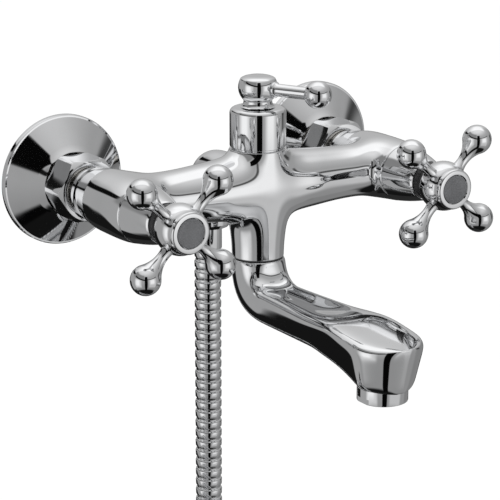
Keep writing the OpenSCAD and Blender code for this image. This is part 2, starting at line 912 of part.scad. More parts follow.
module diverter_knob() {
    flat_r = 6.6;
    top = knob_centre + 6.2;
    side = circle_through([7, knob_centre - 6], [knob_r, knob_centre], [8.6, knob_centre + 4.6]);
    color("gainsboro")
        difference() {
            translate([0, -column_standoff, 0])
                union() {
                    rotate_extrude()
                        intersection() {
                            translate([side[0], side[1]])
                                circle(r = side[2], $fn = 180);
                            translate([0, knob_centre - 6])
                                square([knob_r + 1, 10.6]);
                        }
                    turned([
                        [0, knob_centre + 4.5], [8.6, knob_centre + 4.5], [flat_r, top - 0.4],
                        [flat_r - 2, top], [0, top]
                    ]);
                    waisted([8.5, knob_foot], [7.3, knob_foot + 1.4], [7, knob_centre - 5.9]);
                }
            translate([0, -column_standoff, knob_foot - 1])
                cylinder(r = stem_r + 0.02, h = knob_centre - knob_foot);
            on_lever()
                translate([0, 0, 4.5])
                    cylinder(r = lever_rod_r - 0.4, h = 8);
            on_lever()
                rotate([0, 180, 0])
                    translate([0, 0, stem_r])
                        cylinder(r = 1.7, h = 8);
        }
}

module diverter_knob_screw() {
    color("dimgray")
        on_lever()
            rotate([0, 180, 0])
                difference() {
                    translate([0, 0, stem_r + 0.6])
                        cylinder(r = 1.65, h = 4);
                    translate([0, 0, stem_r + 2.8])
                        cylinder(r = 0.95, h = 4, $fn = 6);
                }
}

module lever_rod() {
    color("gainsboro")
        on_lever()
            turned([
                [0, 4.7], [lever_rod_r - 0.45, 4.7], [lever_rod_r - 0.45, knob_r - 0.1],
                [lever_rod_r + 0.7, knob_r - 0.1], [lever_rod_r + 0.7, knob_r + 0.6],
                [lever_rod_r, knob_r + 1], [lever_rod_r, lever_reach - lever_ball_r + 0.8],
                [lever_rod_r - 0.8, lever_reach - lever_ball_r + 0.8],
                [lever_rod_r - 0.8, lever_reach - 1.5], [0, lever_reach - 1.5]
            ]);
}

module lever_ball() {
    color("gainsboro")
        on_lever()
            difference() {
                translate([0, 0, lever_reach])
                    sphere(r = lever_ball_r);
                translate([0, 0, lever_reach - lever_ball_r - 1])
                    cylinder(r = lever_rod_r + 0.03, h = 1.8);
                translate([0, 0, lever_reach - lever_ball_r])
                    cylinder(r = lever_rod_r - 0.77, h = lever_ball_r - 1.4);
            }
}

// Shower outlet and hose fittings

// Places children on the hose's axis under the outlet
module at_hose() {
    translate([0, -hose_standoff, 0])
        children();
}

module outlet_nipple() {
    color("silver")
        at_hose()
            difference() {
                union() {
                    translate([0, 0, outlet_collar])
                        cylinder(r = 7.5, h = 7);
                    translate([0, 0, -outlet_face])
                        cylinder(r = outlet_thread_r, h = outlet_face + outlet_collar);
                }
                translate([0, 0, -outlet_face - 1])
                    cylinder(r = 5, h = 30);
            }
}

module hose_nut() {
    nut_top = outlet_collar - 1.5;
    lip_top = ferrule_flange_top - ferrule_flange_t;
    color("gainsboro")
        at_hose()
            difference() {
                union() {
                    translate([0, 0, -outlet_face + 1])
                        cylinder(d = hose_nut_flats / cos(30), h = nut_top + outlet_face - 1, $fn = 6);
                    turned([
                        [0, hose_nut_floor], [outlet_thread_r, hose_nut_floor],
                        [hose_nut_flats / 2, hose_nut_floor + 2], [hose_nut_flats / 2, -outlet_face + 1.2],
                        [0, -outlet_face + 1.2]
                    ]);
                }
                translate([0, 0, lip_top])
                    cylinder(r = outlet_thread_r + thread_fit, h = 30);
                translate([0, 0, hose_nut_floor - 1])
                    cylinder(r = ferrule_r + 0.12, h = 30);
            }
}

module hose_washer() {
    color("black")
        at_hose()
            ring(outlet_thread_r - 0.3, 5.2, ferrule_flange_top, -outlet_face);
}

module hose_ferrule() {
    color("gainsboro")
        at_hose()
            difference() {
                turned([
                    [0, ferrule_foot], [ferrule_r - 0.3, ferrule_foot], [ferrule_r, ferrule_foot + 0.5],
                    [ferrule_r, ferrule_flange_top - ferrule_flange_t],
                    [outlet_thread_r - 0.3, ferrule_flange_top - ferrule_flange_t],
                    [outlet_thread_r - 0.3, ferrule_flange_top], [0, ferrule_flange_top]
                ]);
                translate([0, 0, ferrule_foot - 1])
                    cylinder(r = hose_bore_r, h = 30);
            }
}

// Hose

// Faces between neighbouring rings of points, as triangles
function tube_faces(rings, sides) = [
    for (i = [0:rings - 2], k = [0:sides - 1])
        let (a = i * sides + k)
        let (b = i * sides + (k + 1) % sides)
        each [[a, b, b + sides], [a, b + sides, a + sides]]
];

function flipped(faces) = [for (f = faces) [f[2], f[1], f[0]]];

// Rib radii repeat down the hose: a groove, then a full rib
function hose_ring(i, sides) =
    let (rib = floor(i / 2))
    let (crest = i % 2)
    let (z = hose_top[2] - rib_step * (rib + 0.9 * crest))
    let (r = (hose_r - rib_depth * (1 - crest)) / cos(180 / sides))
    [for (k = [0:sides - 1]) [r * cos(360 * k / sides), -hose_standoff - r * sin(360 * k / sides), z]];

module shower_hose() {
    sides = 8;
    bore = hose_bore_r / cos(180 / sides);
    outer = [for (i = [0:2 * rib_count - 1]) each hose_ring(i, sides)];
    last_r = (hose_r - rib_depth) / cos(180 / sides);
    tail = [
        for (k = [0:sides - 1])
            [last_r * cos(360 * k / sides), -hose_standoff - last_r * sin(360 * k / sides), coil_entry[2]]
    ];
    inner = [
        for (z = [coil_entry[2], hose_top[2]], k = [0:sides - 1])
            [bore * cos(360 * k / sides), -hose_standoff - bore * sin(360 * k / sides), z]
    ];
    points = concat(outer, tail, inner);
    rings = 2 * rib_count + 3;
    last = (rings - 1) * sides;
    closing = [
        for (k = [0:sides - 1])
            let (next = (k + 1) % sides)
            each [[last + k, last + next, next], [last + k, next, k]]
    ];
    color("silver")
        polyhedron(points = points, faces = flipped(concat(tube_faces(rings, sides), closing)), convexity = 6);
}

// Centre line of the coil: a straight lead down, the turns, and a straight lead up to the
// end ferrule
function coil_point(turn) = [
    -coil_r + coil_r * cos(360 * turn),
    -hose_standoff - coil_step * turn,
    coil_centre_z - coil_r * sin(360 * turn)
];
coil_path = concat(
    [coil_entry, coil_entry - [0, 0, coil_lead / 2]],
    [for (i = [0:coil_turns * coil_rings_per_turn]) coil_point(i / coil_rings_per_turn)],
    [coil_end - [0, 0, coil_lead / 2], coil_end]
);
coil_gap = min([
    for (i = [0:len(coil_path) - 1], j = [0:len(coil_path) - 1])
        if (j > i + coil_rings_per_turn / 2)
            norm(coil_path[i] - coil_path[j])
]) - 2 * hose_r;
echo(coil_gap_mm = coil_gap);

function path_ring(path, i, r, sides) =
    let (ahead = path[min(i + 1, len(path) - 1)])
    let (behind = path[max(i - 1, 0)])
    let (along = unit(ahead - behind))
    let (across = unit(cross(along, [0, 1, 0])))
    let (over = cross(across, along))
    [for (k = [0:sides - 1]) path[i] + r * (cos(360 * k / sides) * across + sin(360 * k / sides) * over)];

module hose_coil() {
    sides = 6;
    rings = len(coil_path);
    points = [for (i = [0:rings - 1]) each path_ring(coil_path, i, hose_r, sides)];
    last = (rings - 1) * sides;
    start_cap = [for (k = [1:sides - 2]) [0, k + 1, k]];
    end_cap = [for (k = [1:sides - 2]) [last, last + k, last + k + 1]];
    color("silver")
        polyhedron(
            points = points,
            faces = concat(tube_faces(rings, sides), start_cap, end_cap),
            convexity = 8
        );
}

module hose_tie() {
    turns_held = floor(coil_turns) + 1;
    first_y = -hose_standoff - coil_step / 4;
    inside_r = hose_r + loose_fit;
    outside_r = inside_r + 1.2;
    color("black")
        translate([-coil_r - 2.5, first_y, coil_centre_z - coil_r])
            rotate([0, 90, 0])
                difference() {
                    union() {
                        for (y = [0, -coil_step * (turns_held - 1)])
                            translate([0, y, 0])
                                cylinder(r = outside_r, h = 5);
                        translate([-outside_r, -coil_step * (turns_held - 1), 0])
                            cube([2 * outside_r, coil_step * (turns_held - 1), 5]);
                    }
                    for (y = [0, -coil_step * (turns_held - 1)])
                        translate([0, y, -1])
                            cylinder(r = inside_r, h = 7);
                    translate([-inside_r, -coil_step * (turns_held - 1), -1])
                        cube([2 * inside_r, coil_step * (turns_held - 1), 7]);
                }
}

// Places children at the free end of the hose, with local Z along it
module at_hose_end() {
    translate(coil_end)
        children();
}

module hose_end_ferrule() {
    color("gainsboro")
        at_hose_end()
            difference() {
                turned([
                    [0, 0], [ferrule_r - 0.3, 0], [ferrule_r, 0.5], [ferrule_r, end_ferrule_len],
                    [ferrule_r + 1.2, end_ferrule_len], [ferrule_r + 1.2, end_ferrule_len + 2],
                    [0, end_ferrule_len + 2]
                ]);
                translate([0, 0, -1])
                    cylinder(r = hose_bore_r, h = 30);
            }
}

module hose_end_nut() {
    low = end_ferrule_len - 3;
    mouth = low + end_nut_len;
    color("gainsboro")
        at_hose_end()
            difference() {
                turned([
                    [0, low], [ferrule_r + 0.9, low], [ferrule_r + 1.5, low + 1.5],
                    [12, mouth - 7], [12.4, mouth - 6], [12.4, mouth - 0.8], [11.8, mouth], [0, mouth]
                ]);
                translate([0, 0, low - 1])
                    cylinder(r = ferrule_r + 0.12, h = 10);
                translate([0, 0, end_ferrule_len])
                    cylinder(r = ferrule_r + 1.4, h = 40);
                translate([0, 0, mouth - 12])
                    cylinder(r = outlet_thread_r + thread_fit, h = 13);
            }
}

module hose_end_washer() {
    low = end_ferrule_len + 2;
    color("black")
        at_hose_end()
            ring(ferrule_r + 1.1, 5.2, low, low + 2.5);
}

// Spout

// A ring of points round the spout's section. Each entry is [across, up], from -1 to 1,
// and sharpness runs from 2 for a circle towards a square.
function section(sharp_top, sharp_under, sides) = [
    for (k = [0:sides - 1])
        let (angle = 360 * k / sides)
        let (n = sin(angle) >= 0 ? sharp_top : sharp_under)
        let (r = pow(pow(abs(cos(angle)), n) + pow(abs(sin(angle)), n), -1 / n))
        [r * cos(angle), r * sin(angle)]
];

// Lowers the middle of the spout's top face
function dish_at(p, depth) = p[1] > 0 ? depth * pow(1 - pow(p[0], 2), 1.5) * pow(p[1], 4) : 0;

// Half widths of the spout at its top edge and underside, by distance along it
function top_half_width(t) = mix(neck_r, spout_end_r, ease(t) * 0.35 + t * 0.65);
function under_half_width(t) = mix(neck_r, spout_outlet_r, t);

spout_sides = 40;
bend_steps = 9;
duct_steps = 13;
front_steps = 8;

function neck_ring(drop, sharp) = [
    for (p = section(sharp, 2, spout_sides))
        [neck_r * p[0], -column_standoff - neck_r * p[1], spout_joint - drop]
];

// Rings round the bend turn about the centre of its inside radius
function bend_ring(i) =
    let (t = i / bend_steps)
    let (turn = 90 * t)
    let (outside = mix(spout_bend_r + 2 * neck_r, spout_bend_r + spout_under - spout_top, ease(t)))
    let (middle = (outside + spout_bend_r) / 2)
    let (half = (outside - spout_bend_r) / 2)
    [
        for (p = section(6, mix(2, 2.8, t), spout_sides))
            let (reach = middle - half * p[1] + dish_at(p, spout_dish * ease(t)))
            [neck_r * p[0], bend_y + reach * cos(turn), bend_z - reach * sin(turn)]
    ];

function duct_ring(i) =
    let (t = i / duct_steps)
    let (y = mix(bend_y, outlet_y, t))
    let (top = -mix(spout_top, spout_end_top, ease(t)))
    let (under = -mix(spout_under, spout_end_under, pow(share(t, 0.66, 1), 2)))
    let (middle = (top + under) / 2)
    let (half = (top - under) / 2)
    let (dish = spout_dish * (1 - ease(share(t, 0.5, 0.85))))
    [
        for (p = section(6, mix(2.8, 9, ease(share(t, 0.5, 1))), spout_sides))
            let (level = (p[1] + 1) / 2)
            [p[0] * mix(under_half_width(t), top_half_width(t), level), y, middle + half * p[1] - dish_at(p, dish)]
    ];

// Rings round the front follow the cone about the outlet's axis
function front_ring(i) =
    let (turn = 84 * i / front_steps)
    let (half = (spout_end_under - spout_end_top) / 2)
    [
        for (p = section(6, 9, spout_sides))
            let (r = mix(spout_outlet_r, spout_end_r, (p[1] + 1) / 2))
            [p[0] * r * cos(turn), outlet_y - r * sin(turn), half * p[1] - (spout_end_under + spout_end_top) / 2]
    ];

function ring_centre(ring) = (ring[0] + ring[spout_sides / 2]) / 2;

module spout_shell() {
    rings = [
        neck_ring(0, 2),
        neck_ring(1.4, 3.6),
        for (i = [0:bend_steps - 1]) bend_ring(i),
        for (i = [0:duct_steps - 1]) duct_ring(i),
        for (i = [0:front_steps]) front_ring(i)
    ];
    count = len(rings);
    last = (count - 1) * spout_sides;
    neck_centre = count * spout_sides;
    front_centre = neck_centre + 1;
    neck_cap = [for (k = [0:spout_sides - 1]) [neck_centre, (k + 1) % spout_sides, k]];
    front_cap = [for (k = [0:spout_sides - 1]) [front_centre, last + k, last + (k + 1) % spout_sides]];
    polyhedron(
        points = concat([for (r = rings) each r], [ring_centre(rings[0]), ring_centre(rings[count - 1])]),
        faces = flipped(concat(tube_faces(count, spout_sides), neck_cap, front_cap)),
        convexity = 6
    );
}

module spout_casting() {
    groove_r = spigot_r - 1.55;
    color("gainsboro")
        difference() {
            union() {
                spout_shell();
                translate([0, -column_standoff, spout_joint - 2])
                    cylinder(r = spigot_r, h = spigot_len + 2);
            }
            translate([0, -column_standoff, 0]) {
                translate([0, 0, duct_level])
                    cylinder(r = 6, h = spigot_top - duct_level + 1);
                ring(spigot_r + 1, spigot_r - 1.5, screw_level - 2.6, screw_level + 2.6);
                for (level = [spout_joint + 5, spigot_top - 2.6])
                    ring(spigot_r + 1, groove_r, level - 1, level + 1);
            }
            translate([0, -column_standoff, duct_level])
                rotate([90, 0, 0])
                    cylinder(r = duct_r, h = spout_reach);
            translate([0, outlet_y, -spout_end_under - 1])
                cylinder(r = aerator_thread_r + thread_fit, h = aerator_thread_len + 3.2);
        }
}

module spout_o_rings() {
    color("black")
        translate([0, -column_standoff, 0])
            for (level = [spout_joint + 5, spigot_top - 2.6])
                o_ring(spigot_r - 0.77, 0.75, level);
}

module spout_slip_ring() {
    color("dimgray")
        translate([0, -column_standoff, 0])
            ring(column_foot_r - 0.4, spigot_r + loose_fit, -column_drop - slip_ring_t, -column_drop);
}

module spout_retaining_screw() {
    color("silver")
        translate([0, -column_standoff, screw_level])
            rotate([-90, 0, 0])
                difference() {
                    union() {
                        translate([0, 0, spigot_r + 0.3])
                            cylinder(r = 2.5, h = column_foot_r - spigot_r - 0.5);
                        translate([0, 0, spigot_r - 0.9])
                            cylinder(r = 1.8, h = 2);
                    }
                    translate([0, 0, column_foot_r - 2])
                        cylinder(r = 1.25, h = 4, $fn = 6);
                }
}

// Aerator

// Places children on the outlet's axis
module at_outlet() {
    translate([0, outlet_y, 0])
        children();
}

module aerator_housing() {
    color("gainsboro")
        at_outlet()
            difference() {
                union() {
                    translate([0, 0, -spout_end_under])
                        cylinder(r = aerator_thread_r, h = aerator_thread_len);
                    turned([
                        [0, aerator_floor], [aerator_r - 0.3, aerator_floor],
                        [aerator_r, aerator_floor + 0.3], [aerator_r, -spout_end_under], [0, -spout_end_under]
                    ]);
                }
                translate([0, 0, aerator_floor - 1])
                    cylinder(r = 9.4, h = 30);
                for (side = [-1, 1])
                    translate([side * (aerator_r + 1.1), 0, aerator_floor + 1])
                        cube([4, 9, 3.6], center = true);
            }
}

module aerator_insert() {
    low = aerator_floor + 3;
    color("whitesmoke")
        at_outlet()
            difference() {
                translate([0, 0, low])
                    cylinder(r = 9.34, h = 8);
                translate([0, 0, low + 1.6])
                    cylinder(r = 8.2, h = 8);
                for (circle_index = [1:3], k = [0:circle_index * 6 - 1])
                    rotate([0, 0, 360 * k / (circle_index * 6)])
                        translate([circle_index * 2.3, 0, low - 1])
                            cylinder(r = 0.75, h = 4);
            }
}

module aerator_washer() {
    low = -spout_end_under + aerator_thread_len;
    color("black")
        at_outlet()
            ring(aerator_thread_r - 0.2, 8, low, low + 1.6);
}

body_casting();
eccentric_union(left_x);  // left_eccentric_union
eccentric_union(right_x);  // right_eccentric_union
wall_flange(left_x);  // left_wall_flange
wall_flange(right_x);  // right_wall_flange
union_nut(left_x);  // left_union_nut
union_nut(right_x);  // right_union_nut
union_washer(left_x);  // left_union_washer
union_washer(right_x);  // right_union_washer
inlet_tailpiece(left_x);  // left_inlet_tailpiece
inlet_tailpiece(right_x);  // right_inlet_tailpiece
valve_sleeve(left_x);  // left_valve_sleeve
valve_sleeve(right_x);  // right_valve_sleeve
guide_ring(left_x);  // left_guide_ring
guide_ring(right_x);  // right_guide_ring
headwork_body(left_x);  // left_headwork_body
headwork_body(right_x);  // right_headwork_body
seat_seal(left_x);  // left_seat_seal
seat_seal(right_x);  // right_seat_seal
fixed_disc(left_x);  // left_fixed_disc
fixed_disc(right_x);  // right_fixed_disc
moving_disc(left_x);  // left_moving_disc
moving_disc(right_x);  // right_moving_disc
spindle(left_x);  // left_spindle
spindle(right_x);  // right_spindle
cross_handle(left_x, left_handle_turn);  // left_cross_handle
cross_handle(right_x, right_handle_turn);  // right_cross_handle
handle_screw(left_x);  // left_handle_screw
handle_screw(right_x);  // right_handle_screw
index_cap(left_x);  // left_index_cap
index_cap(right_x);  // right_index_cap
diverter_bonnet();
diverter_cartridge();
diverter_o_rings();
diverter_stem();
diverter_knob();
diverter_knob_screw();
lever_rod();
lever_ball();
outlet_nipple();
hose_nut();
hose_washer();
hose_ferrule();
shower_hose();
hose_coil();
hose_tie();
hose_end_ferrule();
hose_end_nut();
hose_end_washer();
spout_casting();
spout_o_rings();
spout_slip_ring();
spout_retaining_screw();
aerator_housing();
aerator_insert();
aerator_washer();
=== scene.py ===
"""A wall-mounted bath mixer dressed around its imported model.

Lengths in the classes are millimetres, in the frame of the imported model: X to the right
as one faces the mixer, Y into the wall and Z up, with the origin on the wall plane
midway between the inlets. Meshes are made metres when they are finished.
"""

import json
import logging
import math
from dataclasses import dataclass
from enum import Enum
from functools import partial
from typing import Any, Callable, Iterable, Sequence

import bmesh
import bpy
from mathutils import Matrix, Vector

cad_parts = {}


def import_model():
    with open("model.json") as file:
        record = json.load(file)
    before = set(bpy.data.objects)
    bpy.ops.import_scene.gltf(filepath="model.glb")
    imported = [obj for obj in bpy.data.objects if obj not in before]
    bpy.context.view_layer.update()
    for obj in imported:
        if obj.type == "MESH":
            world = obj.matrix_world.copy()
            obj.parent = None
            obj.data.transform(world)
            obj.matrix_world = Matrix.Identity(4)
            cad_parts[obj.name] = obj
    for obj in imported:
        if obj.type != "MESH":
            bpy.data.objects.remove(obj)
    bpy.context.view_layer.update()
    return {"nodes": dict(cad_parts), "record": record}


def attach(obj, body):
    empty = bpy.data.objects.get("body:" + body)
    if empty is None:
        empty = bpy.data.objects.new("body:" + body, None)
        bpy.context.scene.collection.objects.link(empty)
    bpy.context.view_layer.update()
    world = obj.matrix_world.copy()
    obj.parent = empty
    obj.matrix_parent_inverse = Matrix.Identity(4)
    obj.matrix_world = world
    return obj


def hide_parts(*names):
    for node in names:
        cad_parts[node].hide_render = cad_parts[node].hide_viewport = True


LOG = logging.getLogger("bath_mixer")
MM = 0.001
FULL_TURN = 2.0 * math.pi

# Sizes that more than one sub-assembly shares
PITCH = 150.0
STANDOFF = 63.5
COLUMN_RISE = 18.8
HORN_FRONT = 82.5
HORN_FRONT_R = 14.2
HOSE_STANDOFF = 16.5
HOSE_TOP = -43.0
NUT_ROUNDING = 0.25
LEAST_SHARP_ANGLE = math.radians(25.0)

Point = tuple[float, float]
Signs = tuple[int, int, int]
Mesh = bmesh.types.BMesh
Edges = Sequence[bmesh.types.BMEdge]
Settings = dict[Any, Any] | None


# Shader maths


class Sock:
    """A socket in a shader tree, with Python's operators for its Math nodes."""

    def __init__(self, tree: "Tree", socket: bpy.types.NodeSocket) -> None:
        """Wraps an output socket of a tree."""
        self.tree = tree
        self.socket = socket

    def _math(self, operation: str, *values: Any) -> "Sock":
        """Adds a Math node on these values."""
        return self.tree.node("ShaderNodeMath", {"operation": operation}, dict(enumerate(values)))

    def call(self, operation: str, *others: Any) -> "Sock":
        """Any operation of the Math node, with this socket as its first value."""
        return self._math(operation, self, *others)

    def __add__(self, other: Any) -> "Sock":
        """Sum."""
        return self.call("ADD", other)

    __radd__ = __add__

    def __mul__(self, other: Any) -> "Sock":
        """Product."""
        return self.call("MULTIPLY", other)

    __rmul__ = __mul__

    def __sub__(self, other: Any) -> "Sock":
        """Difference."""
        return self.call("SUBTRACT", other)

    def __rsub__(self, other: Any) -> "Sock":
        """Difference with the socket second."""
        return self._math("SUBTRACT", other, self)

    def __pow__(self, other: Any) -> "Sock":
        """Power."""
        return self.call("POWER", other)

    def ramp(self, low: float, high: float, to_low: float = 0.0, to_high: float = 1.0) -> "Sock":
        """Maps a range smoothly onto another one.

        Args:
            low: The value that becomes to_low.
            high: The value that becomes to_high.
            to_low: The result at low.
            to_high: The result at high.

        Returns:
            The mapped value.
        """
        settings = {"interpolation_type": "SMOOTHSTEP"}
        inputs = {"Value": self, "From Min": low, "From Max": high, "To Min": to_low, "To Max": to_high}
        return self.tree.node("ShaderNodeMapRange", settings, inputs, "Result")

    def window(self, low: float, high: float, soft: float) -> "Sock":
        """1 between two values and 0 outside them, with soft edges."""
        return self.ramp(low - soft, low + soft) * self.ramp(high - soft, high + soft, 1.0, 0.0)


class Tree:
    """A node tree that is written from an empty start."""

    def __init__(self, tree: bpy.types.NodeTree) -> None:
        """Empties the node tree of a material or of the world."""
        self.tree = tree
        self.tree.nodes.clear()

    def node(self, kind: str, settings: Settings = None, inputs: Settings = None, output: Any = 0) -> Sock:
        """Adds a node, sets it and links it.

        Args:
            kind: The node's type.
            settings: Properties of the node.
            inputs: Values or links by the input's name or number.
            output: The name or number of the output that is wanted.

        Returns:
            The wanted output.
        """
        made = self.tree.nodes.new(kind)
        for name, value in (settings or {}).items():
            setattr(made, name, value)
        for name, value in (inputs or {}).items():
            if isinstance(value, Sock):
                self.tree.links.new(value.socket, made.inputs[name])
            else:
                made.inputs[name].default_value = value
        return Sock(self, made.outputs[output] if made.outputs else None)

    def coordinates(self) -> Sock:
        """The piece's own Object coordinates, in metres."""
        return self.node("ShaderNodeTexCoord", output="Object")

    def noise(self, where: Sock, scale: float, detail: float, roughness: float) -> Sock:
        """Fractal noise.

        Args:
            where: The coordinates that it is read at.
            scale: Waves to a metre.
            detail: Octaves.
            roughness: Weight of the finer octaves.

        Returns:
            The noise, from 0 to 1.
        """
        inputs = {"Vector": where, "Scale": scale, "Detail": detail, "Roughness": roughness}
        return self.node("ShaderNodeTexNoise", None, inputs, "Fac")

    def mixed(self, factor: Any, first: Any, second: Any) -> Sock:
        """Mixes two colours."""
        return self.node("ShaderNodeMix", {"data_type": "RGBA"}, {"Factor": factor, 6: first, 7: second}, 2)

    def bump(self, height: Sock, distance: float, strength: float) -> Sock:
        """A normal bumped by a height from 0 to 1, over a distance in metres."""
        inputs = {"Height": height, "Distance": distance, "Strength": strength}
        return self.node("ShaderNodeBump", None, inputs, "Normal")

    def surface(self, **inputs: Any) -> None:
        """Ends the tree in a Principled surface with these inputs.

        Args:
            **inputs: Values or links by the input's name, with _ for each space.
        """
        named = {name.replace("_", " "): value for name, value in inputs.items()}
        shader = self.node("ShaderNodeBsdfPrincipled", None, named)
        self.node("ShaderNodeOutputMaterial", None, {"Surface": shader})


@dataclass(frozen=True)
class Finish:
    """A finish that a piece can have. Its colour is linear."""

    name: str
    slot: str
    colour: tuple[float, float, float]
    roughness: float

    def build(self) -> bpy.types.Material:
        """Makes the material, once.

        Returns:
            The material.
        """
        made = bpy.data.materials.get(self.name)
        if made is None:
            made = bpy.data.materials.new(self.name)
            made.use_nodes = True
            self.write(Tree(made.node_tree))
        return made

    def shade(self, gain: float, lift: float = 0.0) -> tuple[float, ...]:
        """The finish's colour, made darker or lighter."""
        return tuple(min(1.0, part * gain + lift) for part in self.colour) + (1.0,)

    def write(self, tree: Tree) -> None:
        """Writes the nodes of the finish.

        Args:
            tree: The material's node tree.
        """
        raise NotImplementedError


@dataclass(frozen=True)
class PlatedMetal(Finish):
    """Bright plating over polished metal, with faint polishing waves and water haze."""

    haze: float = 0.05
    wave: float = 0.00001
    grain: float = 55.0

    def write(self, tree: Tree) -> None:
        """Writes the nodes of the finish.

        Args:
            tree: The material's node tree.
        """
        where = tree.coordinates()
        cloud = tree.noise(where, 38.0, 4.0, 0.55)
        fine = tree.noise(where, 900.0, 2.0, 0.6)
        rough = self.roughness + self.haze * cloud.ramp(0.5, 0.75) + 0.02 * fine.ramp(0.55, 0.8)
        colour = tree.mixed(cloud.ramp(0.35, 0.8), self.shade(1.0), self.shade(0.93))
        normal = tree.bump(tree.noise(where, self.grain, 2.0, 0.4), self.wave, 0.5)
        tree.surface(Base_Color=colour, Metallic=1.0, Roughness=rough, Normal=normal)


@dataclass(frozen=True)
class TurnedMetal(Finish):
    """Plain turned metal with fine tool marks."""

    def write(self, tree: Tree) -> None:
        """Writes the nodes of the finish.

        Args:
            tree: The material's node tree.
        """
        where = tree.coordinates()
        marks = tree.noise(where, 420.0, 3.0, 0.7)
        cloud = tree.noise(where, 60.0, 3.0, 0.5)
        rough = self.roughness + 0.14 * marks.ramp(0.4, 0.7) - 0.05 * cloud
        colour = tree.mixed(cloud.ramp(0.4, 0.75), self.shade(1.0), self.shade(0.72))
        tree.surface(Base_Color=colour, Metallic=1.0, Roughness=rough, Normal=tree.bump(marks, 0.00004, 0.5))


@dataclass(frozen=True)
class Moulding(Finish):
    """Moulded plastic, rubber or ceramic with a fine grain."""

    grain: float = 1400.0
    depth: float = 0.00003
    coat: float = 0.0

    def write(self, tree: Tree) -> None:
        """Writes the nodes of the finish.

        Args:
            tree: The material's node tree.
        """
        where = tree.coordinates()
        fine = tree.noise(where, self.grain, 3.0, 0.6)
        cloud = tree.noise(where, 90.0, 4.0, 0.6)
        colour = tree.mixed(cloud.ramp(0.35, 0.75), self.shade(1.0), self.shade(1.25, 0.004))
        rough = self.roughness + 0.12 * fine.ramp(0.3, 0.8) - 0.06 * cloud
        tree.surface(
            Base_Color=colour, Metallic=0.0, Roughness=rough, Coat_Weight=self.coat, Coat_Roughness=0.12,
            Normal=tree.bump(fine, self.depth, 0.6),
        )


CHROME = PlatedMetal("polished_chrome_plating", "polished_chrome", (0.83, 0.835, 0.845), 0.035)
HOSE_CHROME = PlatedMetal("hose_plating", "hose_steel", (0.78, 0.785, 0.795), 0.09, haze=0.06, grain=160.0)
# Black plastic of the guide ring; its black is also painted shade for the shaded gap between the sleeve and
# the handle
BLACK_RING_AND_SHADE = Moulding("black_ring_plastic_and_painted_shade", "black_plastic", (0.012, 0.012, 0.013), 0.32)
INDEX_DISC = Moulding("index_disc_enamel", "dark_disc", (0.05, 0.051, 0.054), 0.42, grain=2600.0, coat=0.25)
FINISHES: tuple[Finish, ...] = (
    CHROME,
    HOSE_CHROME,
    BLACK_RING_AND_SHADE,
    INDEX_DISC,
    TurnedMetal("nickel_plating", "nickel_brass", (0.62, 0.60, 0.56), 0.2),
    TurnedMetal("plain_turned_brass", "plain_brass", (0.72, 0.5, 0.2), 0.24),
    TurnedMetal("screw_steel", "steel", (0.55, 0.56, 0.58), 0.28),
    Moulding("seal_rubber", "rubber", (0.018, 0.018, 0.019), 0.6),
    Moulding("disc_ceramic", "white_ceramic", (0.82, 0.82, 0.8), 0.18),
    Moulding("aerator_plastic", "white_plastic", (0.75, 0.75, 0.74), 0.35),
)


# Curves and rings


def curve_through(a: Point, b: Point, c: Point, steps: int) -> list[Point]:
    """Points on the arc from a through b to c, ends included.

    Args:
        a: First point.
        b: A point between the ends.
        c: Last point.
        steps: Stretches between points.

    Returns:
        The points.
    """
    d = 2.0 * (a[0] * (b[1] - c[1]) + b[0] * (c[1] - a[1]) + c[0] * (a[1] - b[1]))
    aa, bb, cc = (p[0] ** 2 + p[1] ** 2 for p in (a, b, c))
    x = (aa * (b[1] - c[1]) + bb * (c[1] - a[1]) + cc * (a[1] - b[1])) / d
    y = (aa * (c[0] - b[0]) + bb * (a[0] - c[0]) + cc * (b[0] - a[0])) / d
    r = math.hypot(a[0] - x, a[1] - y)
    first, middle, last = (math.atan2(p[1] - y, p[0] - x) for p in (a, b, c))
    turn = (last - first + math.pi) % FULL_TURN - math.pi
    part = (middle - first + math.pi) % FULL_TURN - math.pi
    if turn * part < 0.0:
        turn -= math.copysign(FULL_TURN, turn)
    angles = (first + turn * i / steps for i in range(steps + 1))
    return [(x + r * math.cos(t), y + r * math.sin(t)) for t in angles]


def bend_about(centre: Point, r: float, start: float, end: float, steps: int) -> list[Point]:
    """Points on an arc about a centre, between two angles in degrees, ends included."""
    angles = (math.radians(start + (end - start) * i / steps) for i in range(steps + 1))
    return [(centre[0] + r * math.cos(t), centre[1] + r * math.sin(t)) for t in angles]


def ring_about(centre: Vector, r: float, across: Vector, over: Vector, sides: int) -> list[Vector]:
    """Points on a circle in the plane of two directions."""
    angles = (FULL_TURN * k / sides for k in range(sides))
    return [centre + r * (math.cos(t) * across + math.sin(t) * over) for t in angles]


def course(route: Sequence[Vector], index: int) -> Vector:
    """Direction of a route at one of its points."""
    return (route[min(index + 1, len(route) - 1)] - route[max(index - 1, 0)]).normalized()


def share(value: float, low: float, high: float) -> float:
    """Share of the way from low to high, kept between 0 and 1."""
    return min(1.0, max(0.0, (value - low) / (high - low)))


def ease(t: float) -> float:
    """Smooth step from 0 to 1."""
    return t * t * (3.0 - 2.0 * t)


def between(a: float, b: float, t: float) -> float:
    """Linear mix of two numbers."""
    return a + (b - a) * t


# Mesh helpers


def upright(y: float, z: float = 0.0) -> Matrix:
    """Places a solid whose axis points up, in the middle plane."""
    return Matrix.Translation((0.0, y, z))


